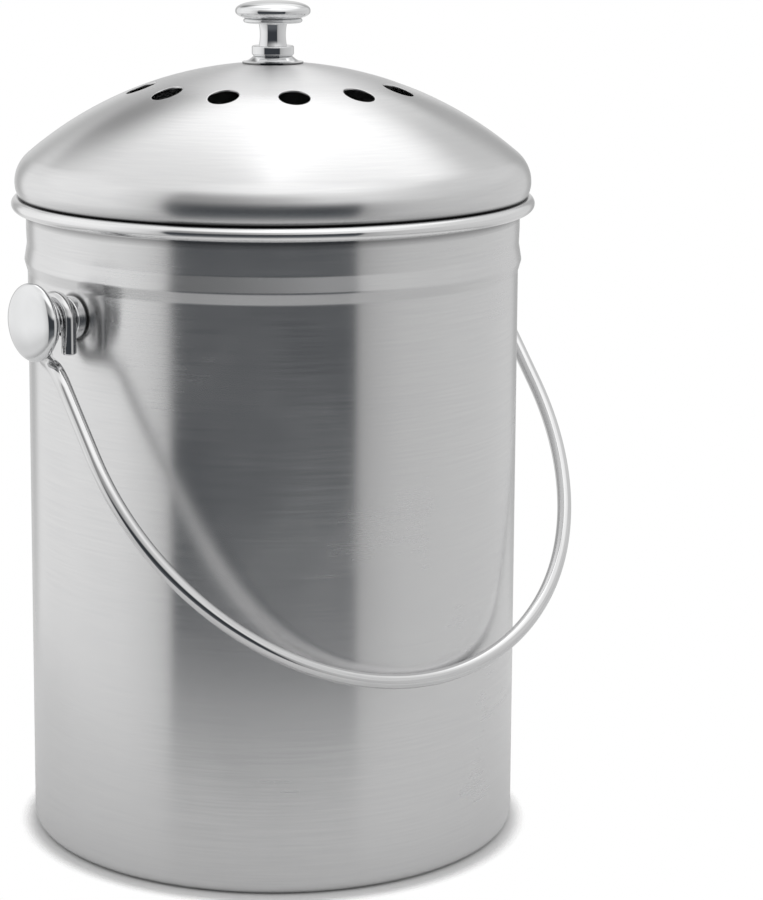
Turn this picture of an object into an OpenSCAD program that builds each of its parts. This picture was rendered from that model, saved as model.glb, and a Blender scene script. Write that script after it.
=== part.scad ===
// Countertop compost caddy: a stainless bin with a rolled rim, a vented lift-off
// lid that carries a charcoal filter, and a wire bail hung on two mushroom studs.
// Frame: origin at the centre of the base on the floor, +Z up, the bail's pivot
// axis along X, and the front, where the bail rests, towards -Y.

/* [Bin] */
// Outer radius of the bin's wall
wall_r = 86; // [84:0.5:90]
// Height of the bin to the top of its rim
bin_h = 225; // [215:0.2:240]
// Thickness of the steel sheet in the bin, the lid and the filter pan
sheet = 0.7; // [0.6:0.05:0.9]
// Outer radius of the bend between the wall and the base
base_corner_r = 4; // [3:0.5:6]
// How far the middle of the base is pressed up off the floor
base_lift = 1.5; // [1:0.25:2.5]
// Width of the flat ring that the bin stands on
foot_w = 9; // [6:1:15]
// Outer radius of the rim's rolled edge
curl_r = 2.4; // [2.2:0.1:2.8]
// Width of the flat seat on top of the rolled edge
rim_flat = 1; // [0.8:0.05:1.8]
// Gap between the end of the rolled edge and the wall
curl_gap = 0.5; // [0.4:0.1:0.8]
// Distance from the top of the rim down to the middle of the pressed bead
bead_drop = 21.9; // [20:0.1:24]
// Height of the pressed bead
bead_h = 8.4; // [6:0.2:10]
// How far the bead bulges out
bead_out = 0.7; // [0.4:0.1:1]
// How far the wall above the bead stands out past the wall below it
neck_out = 0.4; // [0.2:0.1:0.6]

/* [Lid dome] */
// How far the dome's widest ring stays inside the edge of the rim
dome_inset = 1.3; // [0.6:0.05:2]
// Radius of the dome's shallow crown
crown_r = 132.6; // [120:0.2:160]
// Radius of the dome's rounded shoulder
shoulder_r = 12.4; // [10:0.2:18]
// Height of the skirt below the shoulder
skirt_h = 5; // [3:0.25:6]
// How far the skirt draws in at its edge
skirt_in = 1.4; // [0.5:0.1:1.8]
// Number of vent holes
vent_count = 12; // [8:1:16]
// Diameter of a vent hole
vent_d = 10.6; // [8:0.2:12]
// Radius of the ring of vent holes
vent_ring_r = 46; // [40:0.5:55]
// Turn of the first vent hole about the lid's axis
vent_turn = 29; // [0:1:30]

/* [Filter pan] */
// Gap all round between the pan's plug and the mouth of the bin
plug_gap = 1.2; // [0.8:0.1:2]
// How far the plug reaches down into the bin
plug_depth = 21; // [18:0.5:26]
// Outer radius of the bend at the foot of the plug
pan_corner_r = 3; // [2:0.25:4]
// Radius of the bend between the plug and its flange
pan_bend_r = 1.5; // [1:0.25:2]
// Width of the flat ring under the filter
pan_ring_w = 26.5; // [18:0.5:34]
// Height of the folded edge round the opening
pan_lip_h = 2.4; // [2:0.1:3]
// Gap all round between the charcoal filter disc and the plug
filter_gap = 3.8; // [1:0.2:8]
// Thickness of the charcoal filter disc
filter_t = 8; // [6:0.5:12]

/* [Knob and studs] */
// Largest radius of a mushroom cap
cap_r = 13.1; // [12:0.1:14]
// Height of a cap above its widest ring
cap_top = 3.6; // [2.5:0.1:4]
// Depth of a cap's curved underside, were it not cut flat at its seat
cap_under = 3.3; // [2.8:0.1:3.8]
// Radius of the flat seat under a cap
cap_seat_r = 8.6; // [6:0.2:9]
// Radius of the flange under a cap
flange_r = 10.3; // [9.5:0.1:11]
// Thickness of that flange
flange_t = 1.6; // [1.4:0.1:2]
// Radius of the knob's stem at its two ends
stem_r = 4.9; // [4.8:0.1:5.2]
// Radius of the knob's stem at its waist, and of the stud's plain neck
neck_r = 4.5; // [4.3:0.1:4.7]
// Length of the knob's stem
stem_l = 7.9; // [6.5:0.1:9]
// Length of the stud's plain neck
neck_l = 8.8; // [8.6:0.1:10]
// Radius of a collar
collar_r = 7.35; // [7:0.05:8]
// Height of a stud's collar
collar_h = 4; // [3.5:0.1:4.5]
// Height of the knob's collar
knob_collar_h = 3.7; // [2.6:0.1:4.5]
// Radius of the flared rosette under the knob
rosette_r = 10.65; // [10:0.05:12]
// Height of the rosette
rosette_h = 2.1; // [1.8:0.1:3]
// Distance from the top of the rim down to the bail's pivot axis
pivot_drop = 34.6; // [34:0.2:50]

/* [Screws] */
// Radius of a screw's shank
screw_r = 1.92; // [1.4:0.02:1.92]
// Radius of a screw's pan head
screw_head_r = 4; // [3.4:0.1:4.4]
// Height of a screw's pan head
screw_head_h = 2.6; // [2.2:0.1:3]
// Radius of the washer under a screw's head
washer_r = 6; // [5.4:0.1:7]
// Thickness of that washer
washer_t = 1; // [0.8:0.1:1.4]

/* [Bail] */
// Diameter of the wire
wire_d = 5; // [4.6:0.1:5.2]
// Reach of the bail from the pivot axis to the middle of the bow
bail_reach = 149; // [135:1:160]
// How far each leg stands out past its hook
leg_out = 7.4; // [6:0.1:9]
// How much larger the radius of the bow's middle is than that of its two shoulders
bow_flatten = 6.6; // [2:0.2:12]
// Half the angle that the bow's middle spans
bow_turn = 32; // [20:1:45]
// Gap between the wire and the wall where the bow rests
rest_gap = 0.3; // [0.3:0.1:1]
// Gap between a hook and the collar beside it
hook_gap = 1.1; // [0.8:0.1:1.5]
// Running clearance between a hook and its neck, on the radius
pivot_gap = 0.05; // [0.03:0.01:0.1]
// How far a hook's cut end hangs below the pivot axis
hook_tail = 10.7; // [9:0.1:12]
// How far a hook's closed side reaches below the pivot axis
hook_drop = 14.2; // [14:0.1:15]
// Distance along the leg at which it leaves the hook
leg_start = 18; // [18:0.25:20]

/* [Hidden] */
$fn = 96;

// Sides of the bin along X.
LEFT = -1;
RIGHT = 1;

// Clearances shared by the fits.
seat_gap = 0.05;
spigot_gap = 0.05;
washer_gap = 0.05;
screw_hole_r = screw_r + 0.06;
thread_r = screw_r + 0.03;
overcut = 1;

// Bin.
inner_r = wall_r - sheet;
panel_r = wall_r - base_corner_r - foot_w;
panel_slope_w = 2;
neck_wall_r = wall_r + neck_out;
mouth_r = neck_wall_r - sheet;
bead_z0 = bin_h - bead_drop - bead_h / 2;
curl_x = mouth_r + curl_r;
curl_z = bin_h - curl_r;
pivot_z = bin_h - pivot_drop;

// Lid. The lid sits on the flat of the rim, and the crown is tangent to the shoulder.
seat_z = bin_h + seat_gap;
dome_r = curl_x + rim_flat + curl_r - dome_inset;
shoulder_x = dome_r - shoulder_r;
shoulder_z = seat_z + skirt_h;
crown_z = shoulder_z - sqrt(pow(crown_r - shoulder_r, 2) - pow(shoulder_x, 2));
crown_end = atan2(shoulder_z - crown_z, shoulder_x);
apex_z = crown_z + crown_r;
skirt_bend_r = (skirt_h * skirt_h + skirt_in * skirt_in) / (2 * skirt_in);
skirt_turn = asin(skirt_h / skirt_bend_r);

// Filter pan.
plug_r = mouth_r - plug_gap;
pan_z = seat_z - plug_depth;
pan_flange_r = dome_r - skirt_in - sheet - seat_gap;
pan_opening_r = plug_r - pan_ring_w;
pan_lip_r = 1.5;
filter_r = plug_r - sheet - filter_gap;
filter_z = pan_z + pan_lip_h;

// Knob and studs. A cap's seat is cut where its underside is cap_seat_r from its axis.
cap_seat_turn = acos(cap_seat_r / cap_r);
cap_equator = cap_under * sin(cap_seat_turn);
spigot_r = 3;
spigot_h = 2.5;
thread_depth = 7;
knob_collar_z = apex_z + rosette_h;
knob_stem_z = knob_collar_z + knob_collar_h;
knob_cap_z = knob_stem_z + stem_l + flange_t;
stud_cap_z = collar_h + neck_l + flange_t;

// Screws. A washer's rim bears on the curved sheet.
stud_washer_x = sqrt(inner_r * inner_r - washer_r * washer_r) - washer_gap;
knob_washer_z = crown_z + sqrt(pow(crown_r - sheet, 2) - washer_r * washer_r) - washer_t - washer_gap;
stud_shank_l = wall_r + collar_h + thread_depth - 0.5 - (stud_washer_x - washer_t);
knob_shank_l = knob_stem_z + thread_depth - 0.5 - knob_washer_z;
recess_w = 1;
recess_l = 4.2;
recess_h = 1.5;

// Bail. The bow is a middle arc between two shoulders, tangent to them and to the legs.
// Every second piece of the wire is a hair fatter, and each runs into the next by a lap, so no two share a surface.
wire_step = 0.04;
wire_lap = 0.2;
hook_x = wall_r + collar_h + hook_gap + wire_d / 2;
hook_r = neck_r + pivot_gap + wire_d / 2 + wire_step;
rest_angle = asin((wall_r + wire_d / 2 + rest_gap) / bail_reach);
leg_x = hook_x + leg_out;
bow_shoulder_x = bow_flatten * sin(bow_turn);
bow_shoulder_r = leg_x - bow_shoulder_x;
bow_r = bow_shoulder_r + bow_flatten;
leg_l = bail_reach - bow_r + bow_flatten * cos(bow_turn);
bow_corner_v = leg_l + bow_shoulder_r * tan((90 - bow_turn) / 2);
bow_middle_v = bail_reach - bow_r + bow_r / cos(bow_turn);
hook_bend_r = 6;
leg_bend_r = 14;

// ---- Helpers ----

function reversed(list) = [for (i = [len(list) - 1 : -1 : 0]) list[i]];

function unit(v) = v / norm(v);

// Points along an ellipse's arc about c, from angle a0 to a1.
function arc(c, rx, ry, a0, a1, n) = [
  for (i = [0 : n])
    let (a = a0 + (a1 - a0) * i / n)
      [c.x + rx * cos(a), c.y + ry * sin(a)]
];

// Points along a circle's arc.
function round_arc(c, r, a0, a1, n) = arc(c, r, r, a0, a1, n);

module turned(points) {
  rotate_extrude() polygon(points);
}

// Frame at p with the given axes, for what is drawn at the origin.
module in_frame(p, x, y, z) {
  multmatrix([
    [x.x, y.x, z.x, p.x],
    [x.y, y.y, z.y, p.y],
    [x.z, y.z, z.z, p.z],
    [0, 0, 0, 1]
  ]) children();
}

// Frame of a stud: +Z outwards from the wall along the pivot axis.
module on_stud(side) {
  translate([side * wall_r, 0, pivot_z]) rotate([0, 90 * side, 0]) children();
}

// ---- Bin ----

// Radius of the outside of the wall across the bead, for u from 0 at its foot to 1 at its top.
function bead_radius(u) =
  wall_r + neck_out * (1 - cos(180 * u)) / 2 + bead_out * pow(sin(180 * u), 2);

// Section of the bin, i inside its outer face, from the middle of the base to the curl's end.
function shell_line(i) = concat(
  [[0, base_lift + i], [panel_r - panel_slope_w, base_lift + i], [panel_r, i]],
  round_arc([wall_r - base_corner_r, base_corner_r], base_corner_r - i, -90, 0, 8),
  [for (k = [0 : 12]) [bead_radius(k / 12) - i, bead_z0 + bead_h * k / 12]],
  round_arc([curl_x, curl_z], curl_r - sheet + i, 180, 90, 6),
  round_arc([curl_x + rim_flat, curl_z], curl_r - sheet + i, 90, -90, 12),
  [[neck_wall_r + curl_gap, curl_z - curl_r + sheet - i]]
);

module bin_shell() {
  color("silver") difference() {
    turned(concat(shell_line(0), reversed(shell_line(sheet))));
    for (side = [LEFT, RIGHT])
      on_stud(side)
        translate([0, 0, -sheet - overcut])
          cylinder(r = screw_hole_r, h = sheet + 2 * overcut);
  }
}

// ---- Mushroom caps, posts and collars ----

// Cap on its seat: a flattened lens with a socket for the spigot below it.
module mushroom_cap() {
  difference() {
    turned(concat(
      [[0, 0]],
      arc([0, cap_equator], cap_r, cap_under, -cap_seat_turn, 0, 10),
      arc([0, cap_equator], cap_r, cap_top, 0, 90, 16)
    ));
    translate([0, 0, -overcut])
      cylinder(r = spigot_r + spigot_gap, h = spigot_h + spigot_gap + overcut);
  }
}

// Section of a flange from z up, with a rounded edge.
function flange_line(z) = round_arc([flange_r - flange_t / 2, z + flange_t / 2], flange_t / 2, -90, 90, 8);

// Spigot on top of a flange at z, and the thread for the screw in the foot.
module threaded_stem(z) {
  difference() {
    union() {
      children();
      translate([0, 0, z - overcut]) cylinder(r = spigot_r, h = spigot_h + overcut);
    }
    translate([0, 0, -overcut]) cylinder(r = thread_r, h = thread_depth + overcut);
  }
}

// Collar of height h with chamfered edges, standing foot below its seat.
module collar(h, foot) {
  chamfer_low = 0.7;
  chamfer_top = 0.35;
  turned([
    [screw_hole_r, -foot],
    [collar_r - chamfer_low, -foot],
    [collar_r, chamfer_low - foot],
    [collar_r, h - chamfer_top],
    [collar_r - chamfer_top, h],
    [screw_hole_r, h]
  ]);
}

module stud_cap(side) {
  color("gainsboro") on_stud(side) translate([0, 0, stud_cap_z]) mushroom_cap();
}

// Plain neck that the bail's hook turns on, with its flange.
module stud_post(side) {
  color("gainsboro") on_stud(side) translate([0, 0, collar_h])
    threaded_stem(neck_l + flange_t) {
      cylinder(r = neck_r, h = neck_l + flange_t / 2);
      turned(concat([[0, neck_l]], flange_line(neck_l), [[0, neck_l + flange_t]]));
    }
}

// The collar's foot is cut to the curve of the wall.
module stud_collar(side) {
  color("gainsboro") difference() {
    on_stud(side) collar(collar_h, wall_r - sqrt(wall_r * wall_r - collar_r * collar_r));
    cylinder(r = wall_r, h = bin_h);
  }
}

// ---- Screws and washers ----

module washer() {
  difference() {
    cylinder(r = washer_r, h = washer_t);
    translate([0, 0, -overcut]) cylinder(r = screw_hole_r, h = washer_t + 2 * overcut);
  }
}

// Pan-head screw, its head below z = 0 and its shank above.
module pan_screw(shank_l) {
  edge_r = 1.2;
  difference() {
    turned(concat(
      [[0, -screw_head_h]],
      round_arc([screw_head_r - edge_r, edge_r - screw_head_h], edge_r, -90, 0, 5),
      [[screw_head_r, 0], [screw_r, 0], [screw_r, shank_l - 0.6], [screw_r - 0.6, shank_l], [0, shank_l]]
    ));
    for (a = [0, 90])
      rotate(a)
        translate([-recess_l / 2, -recess_w / 2, -screw_head_h - overcut])
          cube([recess_l, recess_w, recess_h + overcut]);
  }
}

module stud_washer(side) {
  color("lightgray") on_stud(side) translate([0, 0, stud_washer_x - washer_t - wall_r]) washer();
}

module stud_screw(side) {
  color("darkgray") on_stud(side)
    translate([0, 0, stud_washer_x - washer_t - wall_r]) pan_screw(stud_shank_l);
}

module knob_washer() {
  color("lightgray") translate([0, 0, knob_washer_z]) washer();
}

module knob_screw() {
  color("darkgray") translate([0, 0, knob_washer_z]) pan_screw(knob_shank_l);
}

// ---- Bail ----

// Point at a distance x from the middle of the bin, forward of the pivot axis and above it.
function from_pivot(side, x, forward, up) = [side * x, -forward, pivot_z + up];

// Point in the resting bow's plane, at distance v from the pivot axis.
function in_bow(side, x, v) = from_pivot(side, x, v * sin(rest_angle), -v * cos(rest_angle));

// Corners of half the wire's centreline, from a hook's cut end to the bow's shoulder, each with its bend radius.
function half_bail(side) = [
  [from_pivot(side, hook_x, hook_r, -hook_tail), 0],
  [from_pivot(side, hook_x, hook_r, hook_r), hook_r],
  [from_pivot(side, hook_x, -hook_r, hook_r), hook_r],
  [from_pivot(side, hook_x, -hook_r, -hook_drop), hook_bend_r],
  [in_bow(side, leg_x, leg_start), leg_bend_r],
  [in_bow(side, leg_x, bow_corner_v), bow_shoulder_r]
];

// Angle through which the wire turns at corner b.
function turn_at(a, b, c) = acos(unit(b - a) * unit(c - b));

// Length of each neighbouring straight that a bend of radius r takes up.
function bend_reach(a, b, c, r) = r * tan(turn_at(a, b, c) / 2);

module bend(a, b, c, r, d) {
  into = unit(b - a);
  axis = unit(cross(into, unit(c - b)));
  inward = cross(axis, into);
  middle = b - into * bend_reach(a, b, c, r) + r * inward;
  lap_turn = wire_lap / r * 180 / PI;
  in_frame(middle, -inward, into, axis)
    rotate(-lap_turn)
      rotate_extrude(angle = turn_at(a, b, c) + 2 * lap_turn)
        translate([r, 0]) circle(d = d, $fn = 48);
}

// Straight from a to b, less what the bends at its ends take up.
module straight(a, b, cut_a, cut_b, d) {
  lap_a = cut_a > 0 ? wire_lap : 0;
  lap_b = cut_b > 0 ? wire_lap : 0;
  along = unit(b - a);
  across = unit(cross(abs(along.z) < 0.9 ? [0, 0, 1] : [1, 0, 0], along));
  in_frame(a + along * (cut_a - lap_a), across, cross(along, across), along)
    cylinder(d = d, h = norm(b - a) - cut_a - cut_b + lap_a + lap_b, $fn = 48);
}

function sum_before(list, i) = i == 0 ? 0 : list[i - 1] + sum_before(list, i - 1);

// Diameter of a wire's piece, counted from its cut end.
function piece_d(count) = wire_d + (count % 2 == 0 ? 2 * wire_step : 0);

// Wire along a path of corners, each with its bend radius. Where two bends meet, no straight is drawn.
module bent_wire(path) {
  last = len(path) - 1;
  corner = [for (p = path) p[0]];
  cut = [
    for (i = [0 : last])
      i == 0 || i == last ? 0 : bend_reach(corner[i - 1], corner[i], corner[i + 1], path[i][1])
  ];
  has_straight = [
    for (i = [0 : last - 1])
      norm(corner[i + 1] - corner[i]) - cut[i] - cut[i + 1] > wire_lap ? 1 : 0
  ];
  for (i = [0 : last - 1])
    if (has_straight[i] == 1)
      straight(corner[i], corner[i + 1], cut[i], cut[i + 1], piece_d(sum_before(has_straight, i) + i));
  for (i = [1 : last - 1])
    bend(corner[i - 1], corner[i], corner[i + 1], path[i][1], piece_d(sum_before(has_straight, i) + i - 1));
}

module bail_wire() {
  color("silver") bent_wire(concat(
    half_bail(LEFT),
    [[in_bow(RIGHT, 0, bow_middle_v), bow_r]],
    reversed(half_bail(RIGHT))
  ));
}

// ---- Lid ----

// Section of the dome, i inside its outer face, from the axis to the skirt's edge.
function dome_line(i) = concat(
  round_arc([0, crown_z], crown_r - i, 90, crown_end, 20),
  round_arc([shoulder_x, shoulder_z], shoulder_r - i, crown_end, 0, 14),
  round_arc([dome_r - skirt_bend_r, shoulder_z], skirt_bend_r - i, 0, -skirt_turn, 5)
);

module lid_dome() {
  color("silver") difference() {
    turned(concat(dome_line(0), reversed(dome_line(sheet))));
    translate([0, 0, knob_washer_z]) cylinder(r = screw_hole_r, h = apex_z - knob_washer_z + overcut);
    for (i = [0 : vent_count - 1])
      rotate(vent_turn + 360 / vent_count * i)
        translate([vent_ring_r, 0, shoulder_z]) cylinder(d = vent_d, h = apex_z - shoulder_z, $fn = 48);
  }
}

// Section of the pan, i inside its outer face, from the flange's edge to the lip of the opening.
function pan_line(i) = concat(
  [[pan_flange_r, seat_z + i]],
  round_arc([plug_r + pan_bend_r, seat_z - pan_bend_r], pan_bend_r + i, 90, 180, 6),
  round_arc([plug_r - pan_corner_r, pan_z + pan_corner_r], pan_corner_r - i, 0, -90, 8),
  round_arc([pan_opening_r + pan_lip_r, pan_z + pan_lip_r], pan_lip_r - i, -90, -180, 6),
  [[pan_opening_r + i, pan_z + pan_lip_h]]
);

module filter_pan() {
  color("silver") turned(concat(pan_line(0), reversed(pan_line(sheet))));
}

module charcoal_filter() {
  color([0.08, 0.08, 0.08]) translate([0, 0, filter_z]) cylinder(r = filter_r, h = filter_t);
}

module knob_cap() {
  color("gainsboro") translate([0, 0, knob_cap_z]) mushroom_cap();
}

// Waisted stem with its flange.
module knob_stem() {
  waist = [
    for (k = [0 : 10])
      let (u = 2 * k / 10 - 1)
        [neck_r + (stem_r - neck_r) * u * u, stem_l * k / 10]
  ];
  color("gainsboro") translate([0, 0, knob_stem_z])
    threaded_stem(stem_l + flange_t)
      turned(concat([[0, 0]], waist, flange_line(stem_l), [[0, stem_l + flange_t]]));
}

module knob_collar() {
  color("gainsboro") translate([0, 0, knob_collar_z]) collar(knob_collar_h, 0);
}

// Flared rosette, its underside cut to the dome.
module knob_rosette() {
  edge_h = 0.25;
  top_r = collar_r - 0.5;
  flare = [
    for (k = [0 : 8])
      let (u = k / 8)
        [rosette_r + (top_r - rosette_r) * u, edge_h + (rosette_h - edge_h) * u * u]
  ];
  color("gainsboro") difference() {
    translate([0, 0, apex_z])
      turned(concat([[screw_hole_r, -overcut], [rosette_r, -overcut]], flare, [[screw_hole_r, rosette_h]]));
    translate([0, 0, crown_z]) sphere(r = crown_r, $fn = 360);
  }
}

bin_shell();
stud_cap(LEFT);  // left_stud_cap
stud_post(LEFT);  // left_stud_post
stud_collar(LEFT);  // left_stud_collar
stud_washer(LEFT);  // left_stud_washer
stud_screw(LEFT);  // left_stud_screw
stud_cap(RIGHT);  // right_stud_cap
stud_post(RIGHT);  // right_stud_post
stud_collar(RIGHT);  // right_stud_collar
stud_washer(RIGHT);  // right_stud_washer
stud_screw(RIGHT);  // right_stud_screw
bail_wire();
lid_dome();
filter_pan();
charcoal_filter();
knob_cap();
knob_stem();
knob_collar();
knob_rosette();
knob_washer();
knob_screw();
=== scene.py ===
"""A brushed steel compost caddy: a spun bin, a vented lift-off lid, a bent wire bail and mushroom knobs.

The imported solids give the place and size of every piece. Each class here holds one sub-assembly's
sizes in millimetres, works its surfaces out with numpy, and dresses them in procedural metal.
"""

import logging
import math
from collections.abc import Callable
from dataclasses import dataclass, field
from enum import Enum

import bmesh
import bpy
import numpy as np
from mathutils import Euler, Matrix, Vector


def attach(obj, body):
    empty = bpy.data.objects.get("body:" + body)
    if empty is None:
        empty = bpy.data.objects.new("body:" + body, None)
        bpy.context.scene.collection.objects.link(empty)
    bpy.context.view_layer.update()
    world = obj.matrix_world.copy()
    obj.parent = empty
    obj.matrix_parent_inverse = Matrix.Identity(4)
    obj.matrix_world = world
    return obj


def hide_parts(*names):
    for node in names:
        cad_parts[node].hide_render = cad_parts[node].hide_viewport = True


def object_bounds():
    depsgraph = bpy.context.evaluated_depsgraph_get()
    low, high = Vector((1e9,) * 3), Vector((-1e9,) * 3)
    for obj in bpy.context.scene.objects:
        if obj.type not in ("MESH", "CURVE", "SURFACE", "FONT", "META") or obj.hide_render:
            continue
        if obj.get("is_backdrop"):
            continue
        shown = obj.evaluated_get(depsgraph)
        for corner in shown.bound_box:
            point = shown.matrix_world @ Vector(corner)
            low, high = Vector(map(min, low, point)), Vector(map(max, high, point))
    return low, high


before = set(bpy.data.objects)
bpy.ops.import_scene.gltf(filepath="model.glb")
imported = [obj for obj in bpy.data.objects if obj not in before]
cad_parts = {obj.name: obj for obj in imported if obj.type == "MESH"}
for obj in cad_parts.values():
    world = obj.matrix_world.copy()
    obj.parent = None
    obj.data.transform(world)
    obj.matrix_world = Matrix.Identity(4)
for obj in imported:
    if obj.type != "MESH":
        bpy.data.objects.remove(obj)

LOG = logging.getLogger("compost_caddy")
MM = 0.001
TURNS, KNOB_TURNS, SMALL_TURNS = 192, 128, 96
WELD, SLIVER, REPEAT = 2e-6, 1e-7, 1e-5
SHEET_CREASE = 50.0
NOISE = (0.3, 0.7)  # between these, most of a noise's values lie
WHITE = (1.0, 1.0, 1.0, 1.0)
Pair = tuple[float, float]
Triple = tuple[float, float, float]
Shade = float | Triple
Stops = tuple[tuple[float, Shade], ...]
Socket = bpy.types.NodeSocket
Material = bpy.types.Material


class Body(Enum):
    """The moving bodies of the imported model."""

    BIN = "bin"
    BAIL = "bail"
    LID = "lid"


class Slot(Enum):
    """Names of material slots."""

    BRUSHED_BIN = "brushed_bin"
    SATIN_LID = "satin_lid"
    POLISHED_WIRE = "polished_wire"
    CHROME_KNOBS = "chrome_knobs"
    CHARCOAL_FELT = "charcoal_felt"


class Side(Enum):
    """The two sides of the bin that carry a stud."""

    LEFT = -1
    RIGHT = 1


# ---- surfaces


@dataclass
class Patch:
    """A grid of points with a texture place at each point, which becomes a sheet of quads.

    Args:
        points: rows x columns x 3, in millimetres.
        places: rows x columns x 2, turns round the piece and metres along its profile.
    """

    points: np.ndarray
    places: np.ndarray


def arc(centre: Pair, radius: float, start: float, end: float, steps: int) -> np.ndarray:
    """Points on an arc: centre + radius (cos a, sin a) for a from start to end.

    Args:
        centre: distance from the axis and height.
        radius: the arc's radius.
        start: first angle in degrees.
        end: last angle in degrees.
        steps: number of chords.

    Returns:
        An array of steps + 1 points.
    """
    a = np.radians(np.linspace(start, end, steps + 1))
    return np.stack([centre[0] + radius * np.cos(a), centre[1] + radius * np.sin(a)], 1)


def line(*stretches: np.ndarray | list) -> np.ndarray:
    """Joins stretches of points into one profile, without repeated points.

    Args:
        stretches: rows of (distance from axis, height).

    Returns:
        An array of points.
    """
    points = np.concatenate([np.atleast_2d(np.asarray(s, float)) for s in stretches])
    step = np.linalg.norm(np.diff(points, axis=0), axis=1)
    return points[np.concatenate([[True], step > REPEAT])]


def both_faces(face: Callable[[float], np.ndarray], thickness: float) -> np.ndarray:
    """The profile of a bent sheet: along its outer face and back along its inner one."""
    return line(face(0.0), face(thickness)[::-1])


def eased(profile: np.ndarray, radius: float, corners: list[int], steps: int = 5) -> np.ndarray:
    """Rounds chosen corners of a profile: each is replaced by the curve a(1-t)^2 + 2ct(1-t) + bt^2.

    Here c is the corner, and a and b lie a radius before and after it.

    Args:
        profile: points of an open profile.
        radius: how far from the corner the curve starts.
        corners: indices of the corners, none of them an end.
        steps: chords in each curve.

    Returns:
        The new profile.
    """
    t = np.linspace(0, 1, steps + 1)[:, None]
    parts, last = [], 0
    for c in sorted(corners):
        parts.append(profile[last:c])
        before, after = profile[c - 1] - profile[c], profile[c + 1] - profile[c]
        a = profile[c] + before * min(radius / np.linalg.norm(before), 0.5)
        b = profile[c] + after * min(radius / np.linalg.norm(after), 0.5)
        parts.append(a * (1 - t) ** 2 + 2 * profile[c] * t * (1 - t) + b * t**2)
        last = c + 1
    return line(*parts, profile[last:])


def lengths(profile: np.ndarray) -> np.ndarray:
    """The distance along a profile at each of its points, in metres."""
    return np.concatenate([[0.0], np.cumsum(np.linalg.norm(np.diff(profile, axis=0), axis=1))]) * MM


def lathe(profile: np.ndarray, turns: int = TURNS, closed: bool = False) -> Patch:
    """Turns a profile round the Z axis: point (i, j) is (r_i cos t_j, r_i sin t_j, z_i).

    Here t_j is 2 pi j / turns.

    Args:
        profile: points (r, z) in millimetres.
        turns: columns round the axis.
        closed: joins the last point to the first.

    Returns:
        The patch, whose last column lies on its first.
    """
    if closed:
        profile = np.concatenate([profile, profile[:1]])
    u = np.linspace(0, 1, turns + 1)
    t = 2 * np.pi * u
    r, z = profile[:, :1], profile[:, 1:]
    points = np.stack([r * np.cos(t), r * np.sin(t), z + 0 * t], 2)
    places = np.stack(np.broadcast_arrays(u[None], lengths(profile)[:, None]), 2)
    return Patch(points, places)


def mesh_of(
    name: str, patches: list[Patch], crease: float = 32.0, place: np.ndarray | None = None
) -> bpy.types.Mesh:
    """Makes one welded, outward-facing mesh from patches.

    Args:
        name: name of the mesh.
        patches: the sheets that close up into one skin.
        crease: angle in degrees above which an edge stays sharp.
        place: 4 x 4 matrix that puts the points in their place, in millimetres.

    Returns:
        The mesh, in metres.
    """
    vertices, quads, corners, count = [], [], [], 0
    for patch in patches:
        rows, columns = patch.points.shape[:2]
        index = count + np.arange(rows * columns).reshape(rows, columns)
        quad = np.stack([index[:-1, :-1], index[:-1, 1:], index[1:, 1:], index[1:, :-1]], 2).reshape(-1, 4)
        vertices.append(patch.points.reshape(-1, 3))
        corners.append(patch.places.reshape(-1, 2)[quad - count].reshape(-1, 2))
        quads.append(quad)
        count += rows * columns
    points = np.concatenate(vertices)
    if place is not None:
        points = points @ place[:3, :3].T + place[:3, 3]
    mesh = bpy.data.meshes.new(name)
    mesh.from_pydata(points * MM, [], np.concatenate(quads))
    layer = mesh.uv_layers.new(name="UVMap")
    layer.data.foreach_set("uv", np.concatenate(corners).astype(np.float32).ravel())
    skin = bmesh.new()
    skin.from_mesh(mesh)
    bmesh.ops.remove_doubles(skin, verts=skin.verts, dist=WELD)
    bmesh.ops.dissolve_degenerate(skin, edges=skin.edges, dist=SLIVER)
    bmesh.ops.recalc_face_normals(skin, faces=skin.faces)
    skin.to_mesh(mesh)
    skin.free()
    mesh.polygons.foreach_set("use_smooth", np.ones(len(mesh.polygons), bool))
    mesh.set_sharp_from_angle(angle=math.radians(crease))
    mesh.update()
    return mesh


def piece(mesh: bpy.types.Mesh, body: Body, slot: Slot, finish: Material, *nodes: str) -> bpy.types.Object:
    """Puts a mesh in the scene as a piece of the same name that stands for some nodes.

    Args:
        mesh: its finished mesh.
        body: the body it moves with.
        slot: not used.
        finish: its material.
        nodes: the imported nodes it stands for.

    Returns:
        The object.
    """
    thing = bpy.data.objects.new(mesh.name, mesh)
    bpy.context.scene.collection.objects.link(thing)
    mesh.materials.append(finish)
    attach(thing, body.value)
    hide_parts(*nodes)
    faces = len(mesh.polygons)
    LOG.info("%s: %d faces, on %s, stands for %s", mesh.name, faces, body.value, ", ".join(nodes))
    return thing


# ---- node helpers


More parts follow.
